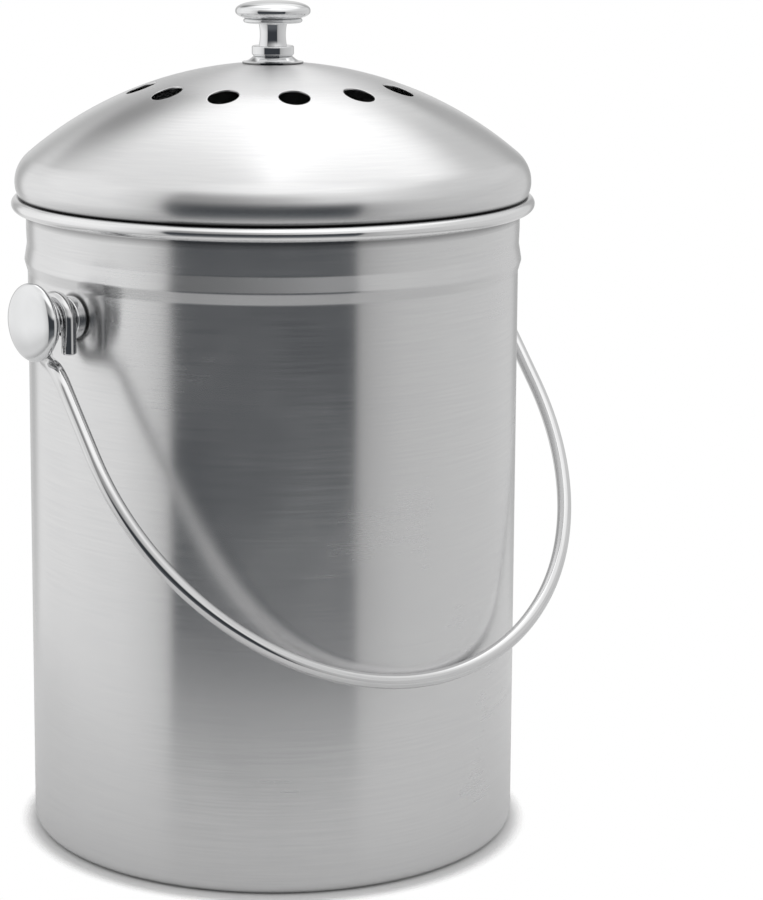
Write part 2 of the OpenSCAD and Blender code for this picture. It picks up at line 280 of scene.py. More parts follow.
class Tree:
    """A short way to add and join the nodes of one node tree."""

    def __init__(self, tree: bpy.types.NodeTree) -> None:
        """Keeps the tree."""
        self.tree = tree

    def feed(self, node: bpy.types.Node, inputs: dict) -> None:
        """Gives each named input of a node a value, or a link from an output socket.

        Args:
            node: the node.
            inputs: a value or an output socket for each named input.
        """
        for key, value in inputs.items():
            if isinstance(value, Socket):
                self.tree.links.new(value, node.inputs[key])
            else:
                node.inputs[key].default_value = value

    def add(self, kind: str, inputs: dict | None = None, **settings: object) -> bpy.types.Node:
        """Adds a node.

        Args:
            kind: the node's type.
            inputs: a value or an output socket for each named input.
            settings: properties of the node.

        Returns:
            The node.
        """
        node = self.tree.nodes.new(kind)
        for key, value in settings.items():
            setattr(node, key, value)
        self.feed(node, inputs or {})
        return node

    def math(self, operation: str, *values: float | Socket) -> Socket:
        """Adds a Math node and returns its output."""
        return self.add("ShaderNodeMath", dict(enumerate(values)), operation=operation).outputs[0]

    def vector(self, operation: str, *values: Triple | Socket) -> Socket:
        """Adds a Vector Math node and returns its output, a number for LENGTH."""
        node = self.add("ShaderNodeVectorMath", dict(enumerate(values)), operation=operation)
        return node.outputs["Value" if operation == "LENGTH" else "Vector"]

    def shaded(self, colour: Socket, mask: Socket) -> Socket:
        """A colour darkened by a mask."""
        return self.add("ShaderNodeVectorMath", {0: colour, "Scale": mask}, operation="SCALE").outputs[0]

    def mix(self, share: Socket, first: tuple | Socket, second: tuple | Socket) -> Socket:
        """A blend of two colours, the second one's share being given."""
        inputs = {"Factor": share, 6: first, 7: second}
        return self.add("ShaderNodeMix", inputs, data_type="RGBA").outputs[2]

    def weighed(self, *parts: tuple[Socket, float]) -> Socket:
        """The sum of two sockets, each times its own share."""
        return self.math("ADD", *(self.math("MULTIPLY", socket, share) for socket, share in parts))

    def noise(self, place: Socket, scale: float | Socket = 1.0, **settings: float) -> Socket:
        """Adds a Noise Texture node.

        Args:
            place: where it is read.
            scale: waves in a metre of that place.
            settings: Detail, Roughness and Distortion, where they differ from the node's own.

        Returns:
            Its number output.
        """
        return self.add("ShaderNodeTexNoise", {"Vector": place, "Scale": scale, **settings}).outputs["Fac"]

    def spread(
        self, value: Socket, low: float, high: float, to_low: float, to_high: float, smooth: bool = False
    ) -> Socket:
        """Adds a Map Range node.

        Args:
            value: the socket it reads.
            low: where its range starts.
            high: where its range ends.
            to_low: what it puts out at the start.
            to_high: what it puts out at the end.
            smooth: eases in and out.

        Returns:
            Its output.
        """
        inputs = {"Value": value, "From Min": low, "From Max": high, "To Min": to_low, "To Max": to_high}
        kind = "SMOOTHSTEP" if smooth else "LINEAR"
        return self.add("ShaderNodeMapRange", inputs, interpolation_type=kind).outputs["Result"]

    def ramp(self, value: Socket, *stops: tuple[float, Shade]) -> Socket:
        """Adds a Color Ramp node.

        Args:
            value: the socket it reads.
            stops: place and colour or grey of each stop.

        Returns:
            Its colour output.
        """
        node = self.add("ShaderNodeValToRGB", {"Fac": value})
        elements = node.color_ramp.elements
        while len(elements) < len(stops):
            elements.new(0.5)
        for element, (place, _) in zip(elements, stops):
            element.position = place
        for element, (_, shade) in zip(elements, stops):
            rgb = shade if isinstance(shade, tuple) else (shade,) * 3
            element.color = (*rgb, 1.0)
        return node.outputs["Color"]

    def bump(self, height: Socket, strength: float, depth: float) -> Socket:
        """Adds a Bump node and returns its normal; the depth is in metres."""
        inputs = {"Height": height, "Strength": strength, "Distance": depth}
        return self.add("ShaderNodeBump", inputs).outputs["Normal"]

    def position(self) -> Socket:
        """The place on the piece, in metres."""
        return self.add("ShaderNodeTexCoord").outputs["Object"]

    def unrolled(self) -> Socket:
        """The texture place: turns round the piece and metres along its profile."""
        return self.add("ShaderNodeUVMap", uv_map="UVMap").outputs[0]


def new_group(
    name: str, inputs: dict[str, float], outputs: list[str]
) -> tuple[bpy.types.NodeTree, Tree, bpy.types.Node, bpy.types.Node]:
    """Makes an empty shader node group that reads a Position and some numbers.

    Args:
        name: the group's name.
        inputs: the first value of each number input.
        outputs: names of its number outputs.

    Returns:
        The group, its tree helper, and its input and output nodes.
    """
    group = bpy.data.node_groups.new(name, "ShaderNodeTree")
    group.interface.new_socket("Position", in_out="INPUT", socket_type="NodeSocketVector")
    for label, value in inputs.items():
        socket = group.interface.new_socket(label, in_out="INPUT", socket_type="NodeSocketFloat")
        socket.default_value = value
    for label in outputs:
        group.interface.new_socket(label, in_out="OUTPUT", socket_type="NodeSocketFloat")
    tree = Tree(group)
    return group, tree, tree.add("NodeGroupInput"), tree.add("NodeGroupOutput")


def brushing_group() -> bpy.types.NodeTree:
    """Fine lines that run round a turned piece.

    Noise is read at (x a, y a, v b), with v the distance along the profile, a small and b large, so
    that it changes slowly round the piece and fast across the lines. Lines holds the hair-fine ones
    and Bands the broad, faint ones that the polishing belt leaves.

    Returns:
        The node group.
    """
    numbers = {"Along": 0.0, "Line Density": 3000.0, "Line Turn": 45.0}
    group, tree, into, out = new_group("Brushing", numbers, ["Lines", "Bands"])
    place = tree.add("ShaderNodeSeparateXYZ", {0: into.outputs["Position"]})
    for label, share, turn, detail in (("Lines", 1.0, 1.0, 1.0), ("Bands", 0.12, 0.35, 2.0)):
        around = tree.math("MULTIPLY", into.outputs["Line Turn"], turn)
        across = tree.math("MULTIPLY", into.outputs["Line Density"], share)
        spot = tree.add(
            "ShaderNodeCombineXYZ",
            {
                "X": tree.math("MULTIPLY", place.outputs["X"], around),
                "Y": tree.math("MULTIPLY", place.outputs["Y"], around),
                "Z": tree.math("MULTIPLY", into.outputs["Along"], across),
            },
        )
        tree.feed(out, {label: tree.noise(spot.outputs[0], Detail=detail, Roughness=0.6)})
    return group


def handling_group() -> bpy.types.NodeTree:
    """Soft clouds and fingertip smudges that dull a handled metal surface.

    Cloud is noise of a few centimetres, and Smudge is a mask of small soft blots where the product
    of it and a finer noise is high.

    Returns:
        The node group.
    """
    numbers = {"Cloud Scale": 16.0, "Smudge Scale": 70.0}
    group, tree, into, out = new_group("Handling", numbers, ["Cloud", "Smudge"])
    place = into.outputs["Position"]
    cloud = tree.noise(place, into.outputs["Cloud Scale"], Detail=3.0)
    blot = tree.noise(place, into.outputs["Smudge Scale"], Detail=4.0, Distortion=0.4)
    appears, full = 0.27, 0.42
    smudge = tree.spread(tree.math("MULTIPLY", cloud, blot), appears, full, 0.0, 1.0, smooth=True)
    tree.feed(out, {"Cloud": cloud, "Smudge": smudge})
    return group


# ---- finishes


def new_material(name: str) -> tuple[Material, Tree, bpy.types.Node]:
    """Makes a material with one Principled shader.

    Args:
        name: the material's name.

    Returns:
        The material, its tree helper and the shader.
    """
    material = bpy.data.materials.new(name)
    material.use_nodes = True
    material.node_tree.nodes.clear()
    tree = Tree(material.node_tree)
    shader = tree.add("ShaderNodeBsdfPrincipled")
    tree.add("ShaderNodeOutputMaterial", {"Surface": shader.outputs[0]})
    return material, tree, shader


@dataclass(frozen=True)
class RolledRim:
    """What is different at the rolled edge of a sheet: polish, painted shade and a painted highlight. Heights
    and distances are in metres.

    Args:
        start: height above which the edge is rolled.
        polish: how far below and above that height the finish changes, and the share of dullness that stays.
        under_rim_shadow: how far below that height the painted shade under the roll starts and ends, and its
            last brightness.
        edge: how far below and above that height the painted shade gives way to the roll.
        outside: how far above that height the roll's outer side is still free of the painted contact shadow.
        painted_contact_shadow: distances from the axis between which the painted shadow under the lid's dome
            gives way to the roll's painted highlight.
        hem_shadow_and_highlight: brightness of that painted shadow and of the painted highlight on the roll.
    """

    start: float = 0.2195
    polish: Pair = (0.001, 0.5)
    under_rim_shadow: Triple = (0.0025, 0.0003, 0.5)
    edge: float = 0.0002
    outside: float = 0.002
    painted_contact_shadow: Pair = (0.0892, 0.0899)
    hem_shadow_and_highlight: Pair = (0.06, 1.12)

    def dress(
        self, tree: Tree, place: Socket, height: Socket, colour: Socket, roughness: Socket
    ) -> tuple[Socket, Socket]:
        """Adds the rim to a finish: polish, painted shade under the roll and under the lid, and a painted
        highlight on the roll.

        Args:
            tree: the material's tree.
            place: the place on the piece.
            height: its height.
            colour: the sheet's colour.
            roughness: the sheet's roughness.

        Returns:
            The new colour and roughness.
        """
        blend, share = self.polish
        worn = tree.spread(height, self.start - blend, self.start + blend, 1.0, share)
        reach = tree.vector("LENGTH", tree.vector("MULTIPLY", place, (1.0, 1.0, 0.0)))
        below = tree.spread(height, self.start, self.start + self.outside, 1.0, 0.0)
        # Painted shadow where the lid's dome sits on the rim, and a painted highlight that brightens the roll
        # outside it.
        painted_seam_light = tree.math("MAXIMUM", below, tree.spread(reach, *self.painted_contact_shadow, *self.hem_shadow_and_highlight, smooth=True))
        # Painted shade: a darker strip on the wall just under the roll.
        low, high, darkest = self.under_rim_shadow
        tucked = tree.spread(height, self.start - low, self.start - high, 1.0, darkest)
        rolled = tree.spread(height, self.start - self.edge, self.start + self.edge, 0.0, 1.0)
        painted_seam_light = tree.math("MULTIPLY", painted_seam_light, tree.math("MAXIMUM", tucked, rolled))
        return tree.shaded(colour, painted_seam_light), tree.math("MULTIPLY", roughness, worn)


@dataclass(frozen=True)
class BrushedSteel:
    """Stainless sheet with a brushed face: dull along the lines, sharp across them.

    Args:
        dark: colour where the lines are low; light is the colour where they are high.
        line_roughness: how much dullness changes over the lines, and so for clouds and smudges.
        line_density: lines in a metre across them; line_turn is the same along them.
        lines_and_bands: the shares of the fine lines and of the broad bands.
        relief: strength of the lines' bumps and their depth in metres.
        grain_turn: turn of the sharp direction from the lines, in whole turns.
        hem_shadow: two heights in metres, between which the painted shadow in the gap under the edge fades
            out.
        rim: the rolled edge, where there is one.
        dull_above: two heights in metres, between which the finish turns duller towards the crown.
        studs_at: height in metres of the studs, round whose feet a thin dark line of painted contact shadow
            is drawn.
    """

    name: str
    dark: Triple = (0.725, 0.725, 0.73)
    light: Triple = (0.755, 0.755, 0.755)
    roughness: float = 0.22
    line_roughness: float = 0.035
    cloud_roughness: float = 0.03
    smudge_roughness: float = 0.012
    anisotropy: float = 0.85
    line_density: float = 1500.0
    line_turn: float = 36.0
    lines_and_bands: Pair = (0.8, 0.2)
    relief: Pair = (0.35, 0.0000012)
    grain_turn: float = 0.25
    hem_shadow: Pair | None = None
    hem_shade: float = 0.035
    rim: RolledRim | None = None
    dull_above: Pair | None = None
    dullness: float = 1.9
    studs_at: float | None = None
    stud_shadow_reach: Pair = (0.0074, 0.009)
    stud_shade: float = 0.25

    def material(self, brushing: bpy.types.NodeTree, handling: bpy.types.NodeTree) -> Material:
        """Builds the material.

        Args:
            brushing: the group that draws the lines.
            handling: the group that draws clouds and smudges.

        Returns:
            The material.
        """
        material, tree, shader = new_material(self.name)
        place = tree.position()
        along = tree.add("ShaderNodeSeparateXYZ", {0: tree.unrolled()}).outputs["Y"]
        settings = {"Along": along, "Line Density": self.line_density, "Line Turn": self.line_turn}
        grain = tree.add("ShaderNodeGroup", {"Position": place, **settings}, node_tree=brushing).outputs
        marks = tree.add("ShaderNodeGroup", {"Position": place}, node_tree=handling).outputs
        mixed = tree.weighed(*zip((grain["Lines"], grain["Bands"]), self.lines_and_bands))
        colour = tree.ramp(mixed, (NOISE[0], self.dark), (NOISE[1], self.light))
        half, cloud = self.line_roughness / 2, self.cloud_roughness
        lines = tree.spread(mixed, *NOISE, self.roughness + half, self.roughness - half)
        roughness = tree.math("ADD", lines, tree.spread(marks["Cloud"], *NOISE, -cloud, cloud))
        roughness = tree.math("ADD", roughness, tree.math("MULTIPLY", marks["Smudge"], self.smudge_roughness))
        height = tree.add("ShaderNodeSeparateXYZ", {0: place}).outputs["Z"]
        # Painted shadow: the dome darkens towards its lower edge, where it sits on the rim.
        if self.hem_shadow:
            colour = tree.shaded(colour, tree.spread(height, *self.hem_shadow, self.hem_shade, 1.0, smooth=True))
        if self.rim:
            colour, roughness = self.rim.dress(tree, place, height, colour, roughness)
        if self.studs_at:
            # Painted contact shadow: a thin dark ring on the wall round each stud's foot.
            beside = tree.vector("MULTIPLY_ADD", place, (0.0, 1.0, 1.0), (0.0, 0.0, -self.studs_at))
            off_axis = tree.vector("LENGTH", beside)
            painted_contact_shadow = tree.spread(off_axis, *self.stud_shadow_reach, self.stud_shade, 1.0, smooth=True)
            colour = tree.shaded(colour, painted_contact_shadow)
        if self.dull_above:
            duller = tree.spread(height, *self.dull_above, 1.0, self.dullness, smooth=True)
            roughness = tree.math("MULTIPLY", roughness, duller)
        tangent = tree.add("ShaderNodeTangent", direction_type="UV_MAP", uv_map="UVMap").outputs[0]
        normal = tree.bump(mixed, *self.relief)
        tree.feed(shader, {"Base Color": colour, "Roughness": roughness, "Metallic": 1.0})
        tree.feed(shader, {"Normal": normal, "Tangent": tangent})
        tree.feed(shader, {"Anisotropic": self.anisotropy, "Anisotropic Rotation": self.grain_turn})
        return material


@dataclass(frozen=True)
class Chrome:
    """Bright plating over turned metal, with faint smudges where fingers go.

    Args:
        clouded: share of the colour that stays in the clouds, which fade out over cloud_span.
        smudged: dullness of a smudge.
        marks: scale of the clouds and of the smudges.
        painted_seam_light: two heights in metres, between which the painted contact shadow along a seated
            edge fades out.
    """

    name: str = "Chrome_Plating"
    colour: Triple = (0.80, 0.805, 0.81)
    clouded: float = 0.94
    cloud_span: Pair = (0.35, 0.6)
    roughness: float = 0.025
    smudged: float = 0.08
    marks: Pair = (55.0, 210.0)
    painted_seam_light: Pair | None = None
    seam_shade: float = 0.15

    def material(self, handling: bpy.types.NodeTree) -> Material:
        """Builds the material.

        Args:
            handling: the group that draws clouds and smudges.

        Returns:
            The material.
        """
        material, tree, shader = new_material(self.name)
        place = tree.position()
        settings = {"Position": place, "Cloud Scale": self.marks[0], "Smudge Scale": self.marks[1]}
        marks = tree.add("ShaderNodeGroup", settings, node_tree=handling).outputs
        roughness = tree.spread(marks["Smudge"], 0.0, 1.0, self.roughness, self.smudged)
        shade = tuple(c * self.clouded for c in self.colour)
        colour = tree.ramp(marks["Cloud"], (self.cloud_span[0], shade), (self.cloud_span[1], self.colour))
        if self.painted_seam_light:
            # Painted contact shadow: the seated edge darkens towards its foot.
            height = tree.add("ShaderNodeSeparateXYZ", {0: place}).outputs["Z"]
            colour = tree.shaded(colour, tree.spread(height, *self.painted_seam_light, self.seam_shade, 1.0, smooth=True))
        tree.feed(shader, {"Base Color": colour, "Roughness": roughness, "Metallic": 1.0})
        return material


@dataclass(frozen=True)
class PolishedWire:
    """Drawn steel wire, polished, with fine scratches along its length.

    Args:
        scratched: how much dullness changes at the bottom and at the top of the scratches.
        smudged: how much duller a smudge is.
        scratches: waves in a turn round the wire and in a metre along it.
        relief: strength of the bumps and their depth in metres.
    """

    name: str = "Polished_Wire"
    dark: Triple = (0.64, 0.64, 0.645)
    light: Triple = (0.78, 0.78, 0.78)
    roughness: float = 0.05
    scratched: Pair = (0.03, -0.02)
    smudged: float = 0.05
    scratches: Triple = (24.0, 30.0, 1.0)
    relief: Pair = (0.25, 0.00001)
    cloud_scale: float = 60.0

    def material(self, handling: bpy.types.NodeTree) -> Material:
        """Builds the material. The scratches are noise at (24 u, 30 v), u round the wire and v along it.

        Args:
            handling: the group that draws clouds and smudges.

        Returns:
            The material.
        """
        material, tree, shader = new_material(self.name)
        settings = {"Position": tree.position(), "Cloud Scale": self.cloud_scale}
        marks = tree.add("ShaderNodeGroup", settings, node_tree=handling).outputs
        drawn = tree.add("ShaderNodeMapping", {"Vector": tree.unrolled(), "Scale": self.scratches})
        mixed = tree.noise(drawn.outputs[0], Detail=3.0, Roughness=0.65)
        colour = tree.ramp(mixed, (NOISE[0], self.dark), (NOISE[1], self.light))
        rough, fine = (self.roughness + change for change in self.scratched)
        smudge = tree.math("MULTIPLY", marks["Smudge"], self.smudged)
        roughness = tree.math("ADD", tree.spread(mixed, *NOISE, rough, fine), smudge)
        normal = tree.bump(mixed, *self.relief)
        tree.feed(shader, {"Base Color": colour, "Roughness": roughness, "Normal": normal, "Metallic": 1.0})
        return material


@dataclass(frozen=True)
class ZincPlate:
    """Bright zinc on screws and washers, with the frosted mottle of the plating bath.

    Args:
        mottled: how much dullness changes where the mottle is low and where it is high.
        span: the mottle's values between which it changes.
        shares: how much crystals and clouds add to the mottle.
        crystals: crystals in a metre.
        relief: strength of the bumps and their depth in metres.
    """

    name: str = "Zinc_Plating"
    dark: Triple = (0.50, 0.51, 0.52)
    light: Triple = (0.72, 0.73, 0.74)
    roughness: float = 0.34
    mottled: Pair = (0.08, -0.06)
    span: Pair = (0.3, 0.75)
    cloud_scale: float = 240.0
    shares: Pair = (0.4, 0.7)
    crystals: float = 900.0
    relief: Pair = (0.3, 0.00002)

    def material(self, handling: bpy.types.NodeTree) -> Material:
        """Builds the material.

        Args:
            handling: the group that draws clouds and smudges.

        Returns:
            The material.
        """
        material, tree, shader = new_material(self.name)
        place = tree.position()
        settings = {"Position": place, "Cloud Scale": self.cloud_scale}
        marks = tree.add("ShaderNodeGroup", settings, node_tree=handling).outputs
        crystal = tree.add("ShaderNodeTexVoronoi", {"Vector": place, "Scale": self.crystals})
        mixed = tree.weighed(*zip((crystal.outputs["Distance"], marks["Cloud"]), self.shares))
        colour = tree.ramp(mixed, (self.span[0], self.dark), (self.span[1], self.light))
        rough, fine = (self.roughness + change for change in self.mottled)
        roughness = tree.spread(mixed, *self.span, rough, fine)
        normal = tree.bump(mixed, *self.relief)
        tree.feed(shader, {"Base Color": colour, "Roughness": roughness, "Normal": normal, "Metallic": 1.0})
        return material


@dataclass(frozen=True)
class CharcoalFelt:
    """Needle-punched felt loaded with charcoal: near black, with short pale fibres lying every way.

    Args:
        roughness: dullness of the felt and of its fibres.
        stretch: waves in a metre along, across and through the layers of fibres.
        laid: the directions of the two layers in radians.
        fibre_span: the noise's values between which a fibre appears.
        shares: how much fibres and mottle add to the colour.
        relief: strength of the bumps and their depth in metres.
    """

    name: str = "Charcoal_Felt"
    deep: Triple = (0.011, 0.011, 0.012)
    fibre: Triple = (0.045, 0.045, 0.048)
    roughness: Pair = (0.98, 0.85)
    stretch: Triple = (420.0, 2600.0, 1200.0)
    laid: Pair = (0.5, 2.2)
    fibre_span: Pair = (0.52, 0.72)
    mottle: float = 160.0
    shares: Pair = (0.6, 0.4)
    relief: Pair = (0.8, 0.0004)

    def material(self) -> Material:
        """Builds the material. Fibres are two stretched noises laid across each other over a fine mottle.

        Returns:
            The material.
        """
        material, tree, shader = new_material(self.name)
        place = tree.position()
        fibres = []
        for turn in self.laid:
            settings = {"Vector": place, "Rotation": (0.0, 0.0, turn), "Scale": self.stretch}
            lie = tree.add("ShaderNodeMapping", settings).outputs[0]
            threads = tree.noise(lie, Detail=2.0, Distortion=1.2)
            fibres.append(tree.spread(threads, *self.fibre_span, 0.0, 1.0, smooth=True))
        parts = tree.math("MAXIMUM", *fibres), tree.noise(place, self.mottle, Detail=4.0)
        mixed = tree.weighed(*zip(parts, self.shares))
        colour = tree.ramp(mixed, (0.15, self.deep), (0.85, self.fibre))
        roughness = tree.spread(mixed, 0.0, 1.0, *self.roughness)
        normal = tree.bump(mixed, *self.relief)
        tree.feed(shader, {"Base Color": colour, "Roughness": roughness, "Normal": normal})
        tree.feed(shader, {"Specular IOR Level": 0.25, "Sheen Weight": 0.15, "Sheen Roughness": 0.5})
        return material


@dataclass
class Finishes:
    """Every finish of the caddy, built once."""

    bin: Material
    dome: Material
    pan: Material
    wire: Material
    chrome: Material
    rosette: Material
    zinc: Material
    felt: Material

    @classmethod
    def build(cls) -> "Finishes":
        """Builds the node groups and then each material.

        Returns:
            The finishes.
        """
        brushing, handling = brushing_group(), handling_group()
        # The bin gets painted shade and a painted highlight at its rim, and a painted contact shadow round
        # each stud.
        wall = BrushedSteel("Brushed_Bin", roughness=0.235, anisotropy=0.88, rim=RolledRim(), studs_at=0.1904)
        dome = BrushedSteel(
            "Satin_Dome",
            line_roughness=0.015,
            anisotropy=0.75,
            line_density=1300.0,
            line_turn=60.0,
            relief=(0.35, 0.0000006),
            # painted shadow along the dome's lower edge
            hem_shadow=(0.2251, 0.2269),
            dull_above=(0.2615, 0.266),
        )
        pan = BrushedSteel(
            "Satin_Pan", roughness=0.24, anisotropy=0.6, line_density=1400.0, relief=(0.35, 0.000001)
        )
        return cls(
            bin=wall.material(brushing, handling),
            dome=dome.material(brushing, handling),
            pan=pan.material(brushing, handling),
            wire=PolishedWire().material(handling),
            chrome=Chrome().material(handling),
            # the rosette gets a painted contact shadow along its seated edge
            rosette=Chrome("Chrome_Rosette", painted_seam_light=(0.27105, 0.2714)).material(handling),
            zinc=ZincPlate().material(handling),
            felt=CharcoalFelt().material(),
        )


# ---- the bin


@dataclass
class Bin:
    """The spun sheet bin: base with a raised panel, straight wall, pressed bead and rolled rim.

    Args:
        lift: height of the raised panel over the foot ring, whose width is foot_w.
        rim_flat: width of the flat on top of the rim.
        curl_gap: room between the rim's tucked end and the wall.
        bead_z: heights of the bead's start, ridge and end.
        bead_out: how far the ridge and the end stand out of the wall.
        neck_z: height at which the wall reaches the neck, which stands out by neck_out.
    """

    wall_r: float = 86.0
    height: float = 225.0
    sheet: float = 0.7
    corner_r: float = 4.0
    lift: float = 1.5
    foot_w: float = 9.0
    panel_step: float = 2.0
    panel_ease: float = 0.8
    curl_r: float = 2.4
    rim_flat: float = 1.0
    curl_gap: float = 0.5
    bead_z: Triple = (199.15, 203.1, 208.65)
    bead_out: Pair = (1.12, 0.2)
    bead_ease: float = 0.8
    neck_out: float = 0.4
    neck_z: float = 214.0

    @property
    def curl_x(self) -> float:
        """Distance from the axis to the middle of the rim's inner bend."""
        return self.wall_r + self.neck_out - self.sheet + self.curl_r

    def bead(self, inset: float) -> np.ndarray:
        """The pressed bead: two straight flanks meeting in a ridge, averaged over a little height.

        Args:
            inset: 0 for the outer face, the sheet's thickness for the inner one.

        Returns:
            Profile points.
        """
        height = np.linspace(self.bead_z[0] - self.bead_ease, self.bead_z[2] + self.bead_ease, 97)
        window = np.linspace(-self.bead_ease, self.bead_ease, 19) / 2
        steps = (*self.bead_z, self.neck_z), (0.0, *self.bead_out, self.neck_out)
        out = np.interp(height[:, None] + window, *steps).mean(1)
        return np.stack([self.wall_r + out - inset, height], 1)

    def side(self, inset: float) -> np.ndarray:
        """One face of the sheet, from the middle of the base to the tucked end of the rim.

        Args:
            inset: 0 for the outer face, the sheet's thickness for the inner one.

        Returns:
            Profile points.
        """
        panel = self.wall_r - self.corner_r - self.foot_w
        roll = self.curl_r - self.sheet + inset
        curl_z = self.height - self.curl_r
        raised, half_way, on_foot = self.lift + inset, 30.0, 5.0
        base = [[r, raised] for r in (0.0, half_way, panel - self.panel_step)]
        base += [[r, inset] for r in (panel, panel + on_foot)]
        over_corner, under_bead = 12.0, self.bead_z[0] - 4.0
        return line(
            eased(np.array(base), self.panel_ease, [2, 3]),
            arc((self.wall_r - self.corner_r, self.corner_r), self.corner_r - inset, -90, 0, 14),
            [[self.wall_r - inset, z] for z in np.linspace(over_corner, under_bead, 16)],
            self.bead(inset),
            [[self.wall_r + self.neck_out - inset, self.neck_z]],
            arc((self.curl_x, curl_z), roll, 180, 90, 14),
            arc((self.curl_x + self.rim_flat, curl_z), roll, 90, -90, 24),
            [[self.wall_r + self.neck_out + self.curl_gap, curl_z - roll]],
        )

    def build(self, finish: Finishes) -> None:
        """Builds and dresses the sheet.

        Args:
            finish: the finishes.
        """
        mesh = mesh_of("Bin_Body", [lathe(both_faces(self.side, self.sheet))], SHEET_CREASE)
        piece(mesh, Body.BIN, Slot.BRUSHED_BIN, finish.bin, "bin_shell")


# ---- knobs and studs


def along_x(side: Side, wall_r: float, pivot_z: float) -> np.ndarray:
    """The matrix that lays a turned part on the bin's side, its axis pointing outwards.

    Args:
        side: which side.
        wall_r: radius of the wall.
        pivot_z: height of the stud.

    Returns:
        A 4 x 4 matrix in millimetres.
    """
    s = side.value
    return np.array([[0, 0, s, s * wall_r], [0, 1, 0, 0], [-s, 0, 0, pivot_z], [0, 0, 0, 1]], float)


def lifted(height: float) -> np.ndarray:
    """The matrix that lifts a part by a height in millimetres."""
    return np.array([[1, 0, 0, 0], [0, 1, 0, 0], [0, 0, 1, height], [0, 0, 0, 1]], float)


@dataclass
class Mushroom:
    """A chromed mushroom knob: cap, flange, neck and collar, turned round one axis.

    Args:
        cap_top: height of the cap's upper half ellipse; cap_under is the same of the lower one.
        cap_seat_r: radius of the flat under the cap.
        bluntness: exponent of the cap's ellipses.
        foot_r: radius of the neck's two ends; a waisted neck's is more than neck_r.
        neck_end: how far under the flange the neck's curve ends.
        fillet_r: radius of the bend from the neck into the flange.
        collar_cuts: how far the collar's lower and upper edges are cut back.
        collar_ease: how far the corners of those cuts are rounded.
    """

    cap_r: float = 13.1
    cap_top: float = 3.6
    cap_under: float = 3.3
    cap_seat_r: float = 8.6
    bluntness: float = 2.4
    flange_r: float = 10.3
    flange_t: float = 1.6
    neck_r: float = 4.5
    foot_r: float = 4.5
    neck_l: float = 8.8
    neck_end: float = 0.6
    fillet_r: float = 0.6
    collar_r: float = 7.35
    collar_h: float = 4.0
    collar_cuts: Pair = (0.7, 0.35)
    collar_ease: float = 0.3
    bore_r: float = 1.98

    def cap(self) -> np.ndarray:
        """The cap: two blunt half ellipses, |x / r|^n + |z / h|^n = 1, meet at its edge over a flat seat.

        Returns:
            Profile points.
        """
        equator = self.cap_under * math.sqrt(1 - (self.cap_seat_r / self.cap_r) ** 2)
        blunt = 2 / self.bluntness
        lowest = math.asin((equator / self.cap_under) ** (1 / blunt))
        under = np.linspace(-lowest, 0, 25)
        over = np.linspace(0, np.pi / 2, 49)[1:]
        halves = []
        for turn, height in ((under, self.cap_under), (over, self.cap_top)):
            out = self.cap_r * np.clip(np.cos(turn), 0, 1) ** blunt
            up = equator + height * np.sign(turn) * np.abs(np.sin(turn)) ** blunt
            halves.append(np.stack([out, up], 1))
        return line([[0, 0]], *halves)

    def post(self) -> np.ndarray:
        """The neck and its round-edged flange. The neck's radius is neck + (foot - neck) (2 z / l - 1)^2.

        Returns:
            Profile points.
        """
        z = np.linspace(0, 1, 17)
        neck = self.neck_r + (self.foot_r - self.neck_r) * (2 * z - 1) ** 2
        bend, half = self.fillet_r, self.flange_t / 2
        return line(
            [[0, 0]],
            np.stack([neck, z * (self.neck_l - self.neck_end)], 1),
            arc((neck[-1] + bend, self.neck_l - bend), bend, 180, 90, 6),
            arc((self.flange_r - half, self.neck_l + half), half, -90, 90, 16),
            [[0, self.neck_l + self.flange_t]],
        )

    def collar(self) -> np.ndarray:
        """The collar ring with eased edges, as a closed profile round its bore.

        Returns:
            Profile points.
        """
        low, top = self.collar_cuts
        ring = np.array(
            [
                [self.bore_r, 0],
                [self.collar_r - low, 0],
                [self.collar_r, low],
                [self.collar_r, self.collar_h - top],
                [self.collar_r - top, self.collar_h],
                [self.bore_r, self.collar_h],
            ]
        )
        return eased(ring, self.collar_ease, [1, 2, 3, 4])


@dataclass
class Studs:
    """The two mushroom studs that carry the bail.

    Args:
        fitted: height over which the collar's cut foot evens out.
    """

    shape: Mushroom = field(default_factory=Mushroom)
    wall_r: float = 86.0
    pivot_z: float = 190.4
    fitted: float = 1.2

    def saddle(self) -> Patch:
        """The collar with its foot cut to the wall: the foot's height is sqrt(wall^2 - y^2) - wall.

        Returns:
            The patch, its axis upright.
        """
        ring = lathe(self.shape.collar(), SMALL_TURNS, closed=True)
        y, z = ring.points[..., 1], ring.points[..., 2]
        foot = np.sqrt(self.wall_r**2 - y**2) - self.wall_r
        share = np.clip(1 - z / self.fitted, 0, 1)
        ring.points[..., 2] = z + foot * share
        return ring

    def build(self, finish: Finishes) -> None:
        """Builds both studs: each a cap, a post and a collar.

        Args:
            finish: the finishes.
        """
        s = self.shape
        for side in Side:
            place = along_x(side, self.wall_r, self.pivot_z)
            parts = (
                ("cap", lathe(s.cap(), KNOB_TURNS), s.collar_h + s.neck_l + s.flange_t),
                ("post", lathe(s.post(), SMALL_TURNS), s.collar_h),
                ("collar", self.saddle(), 0.0),
            )
            for label, patch, height in parts:
                node = f"{side.name.lower()}_stud_{label}"
                mesh = mesh_of(node.title(), [patch], place=place @ lifted(height))
                piece(mesh, Body.BIN, Slot.CHROME_KNOBS, finish.chrome, node)


# ---- the bail


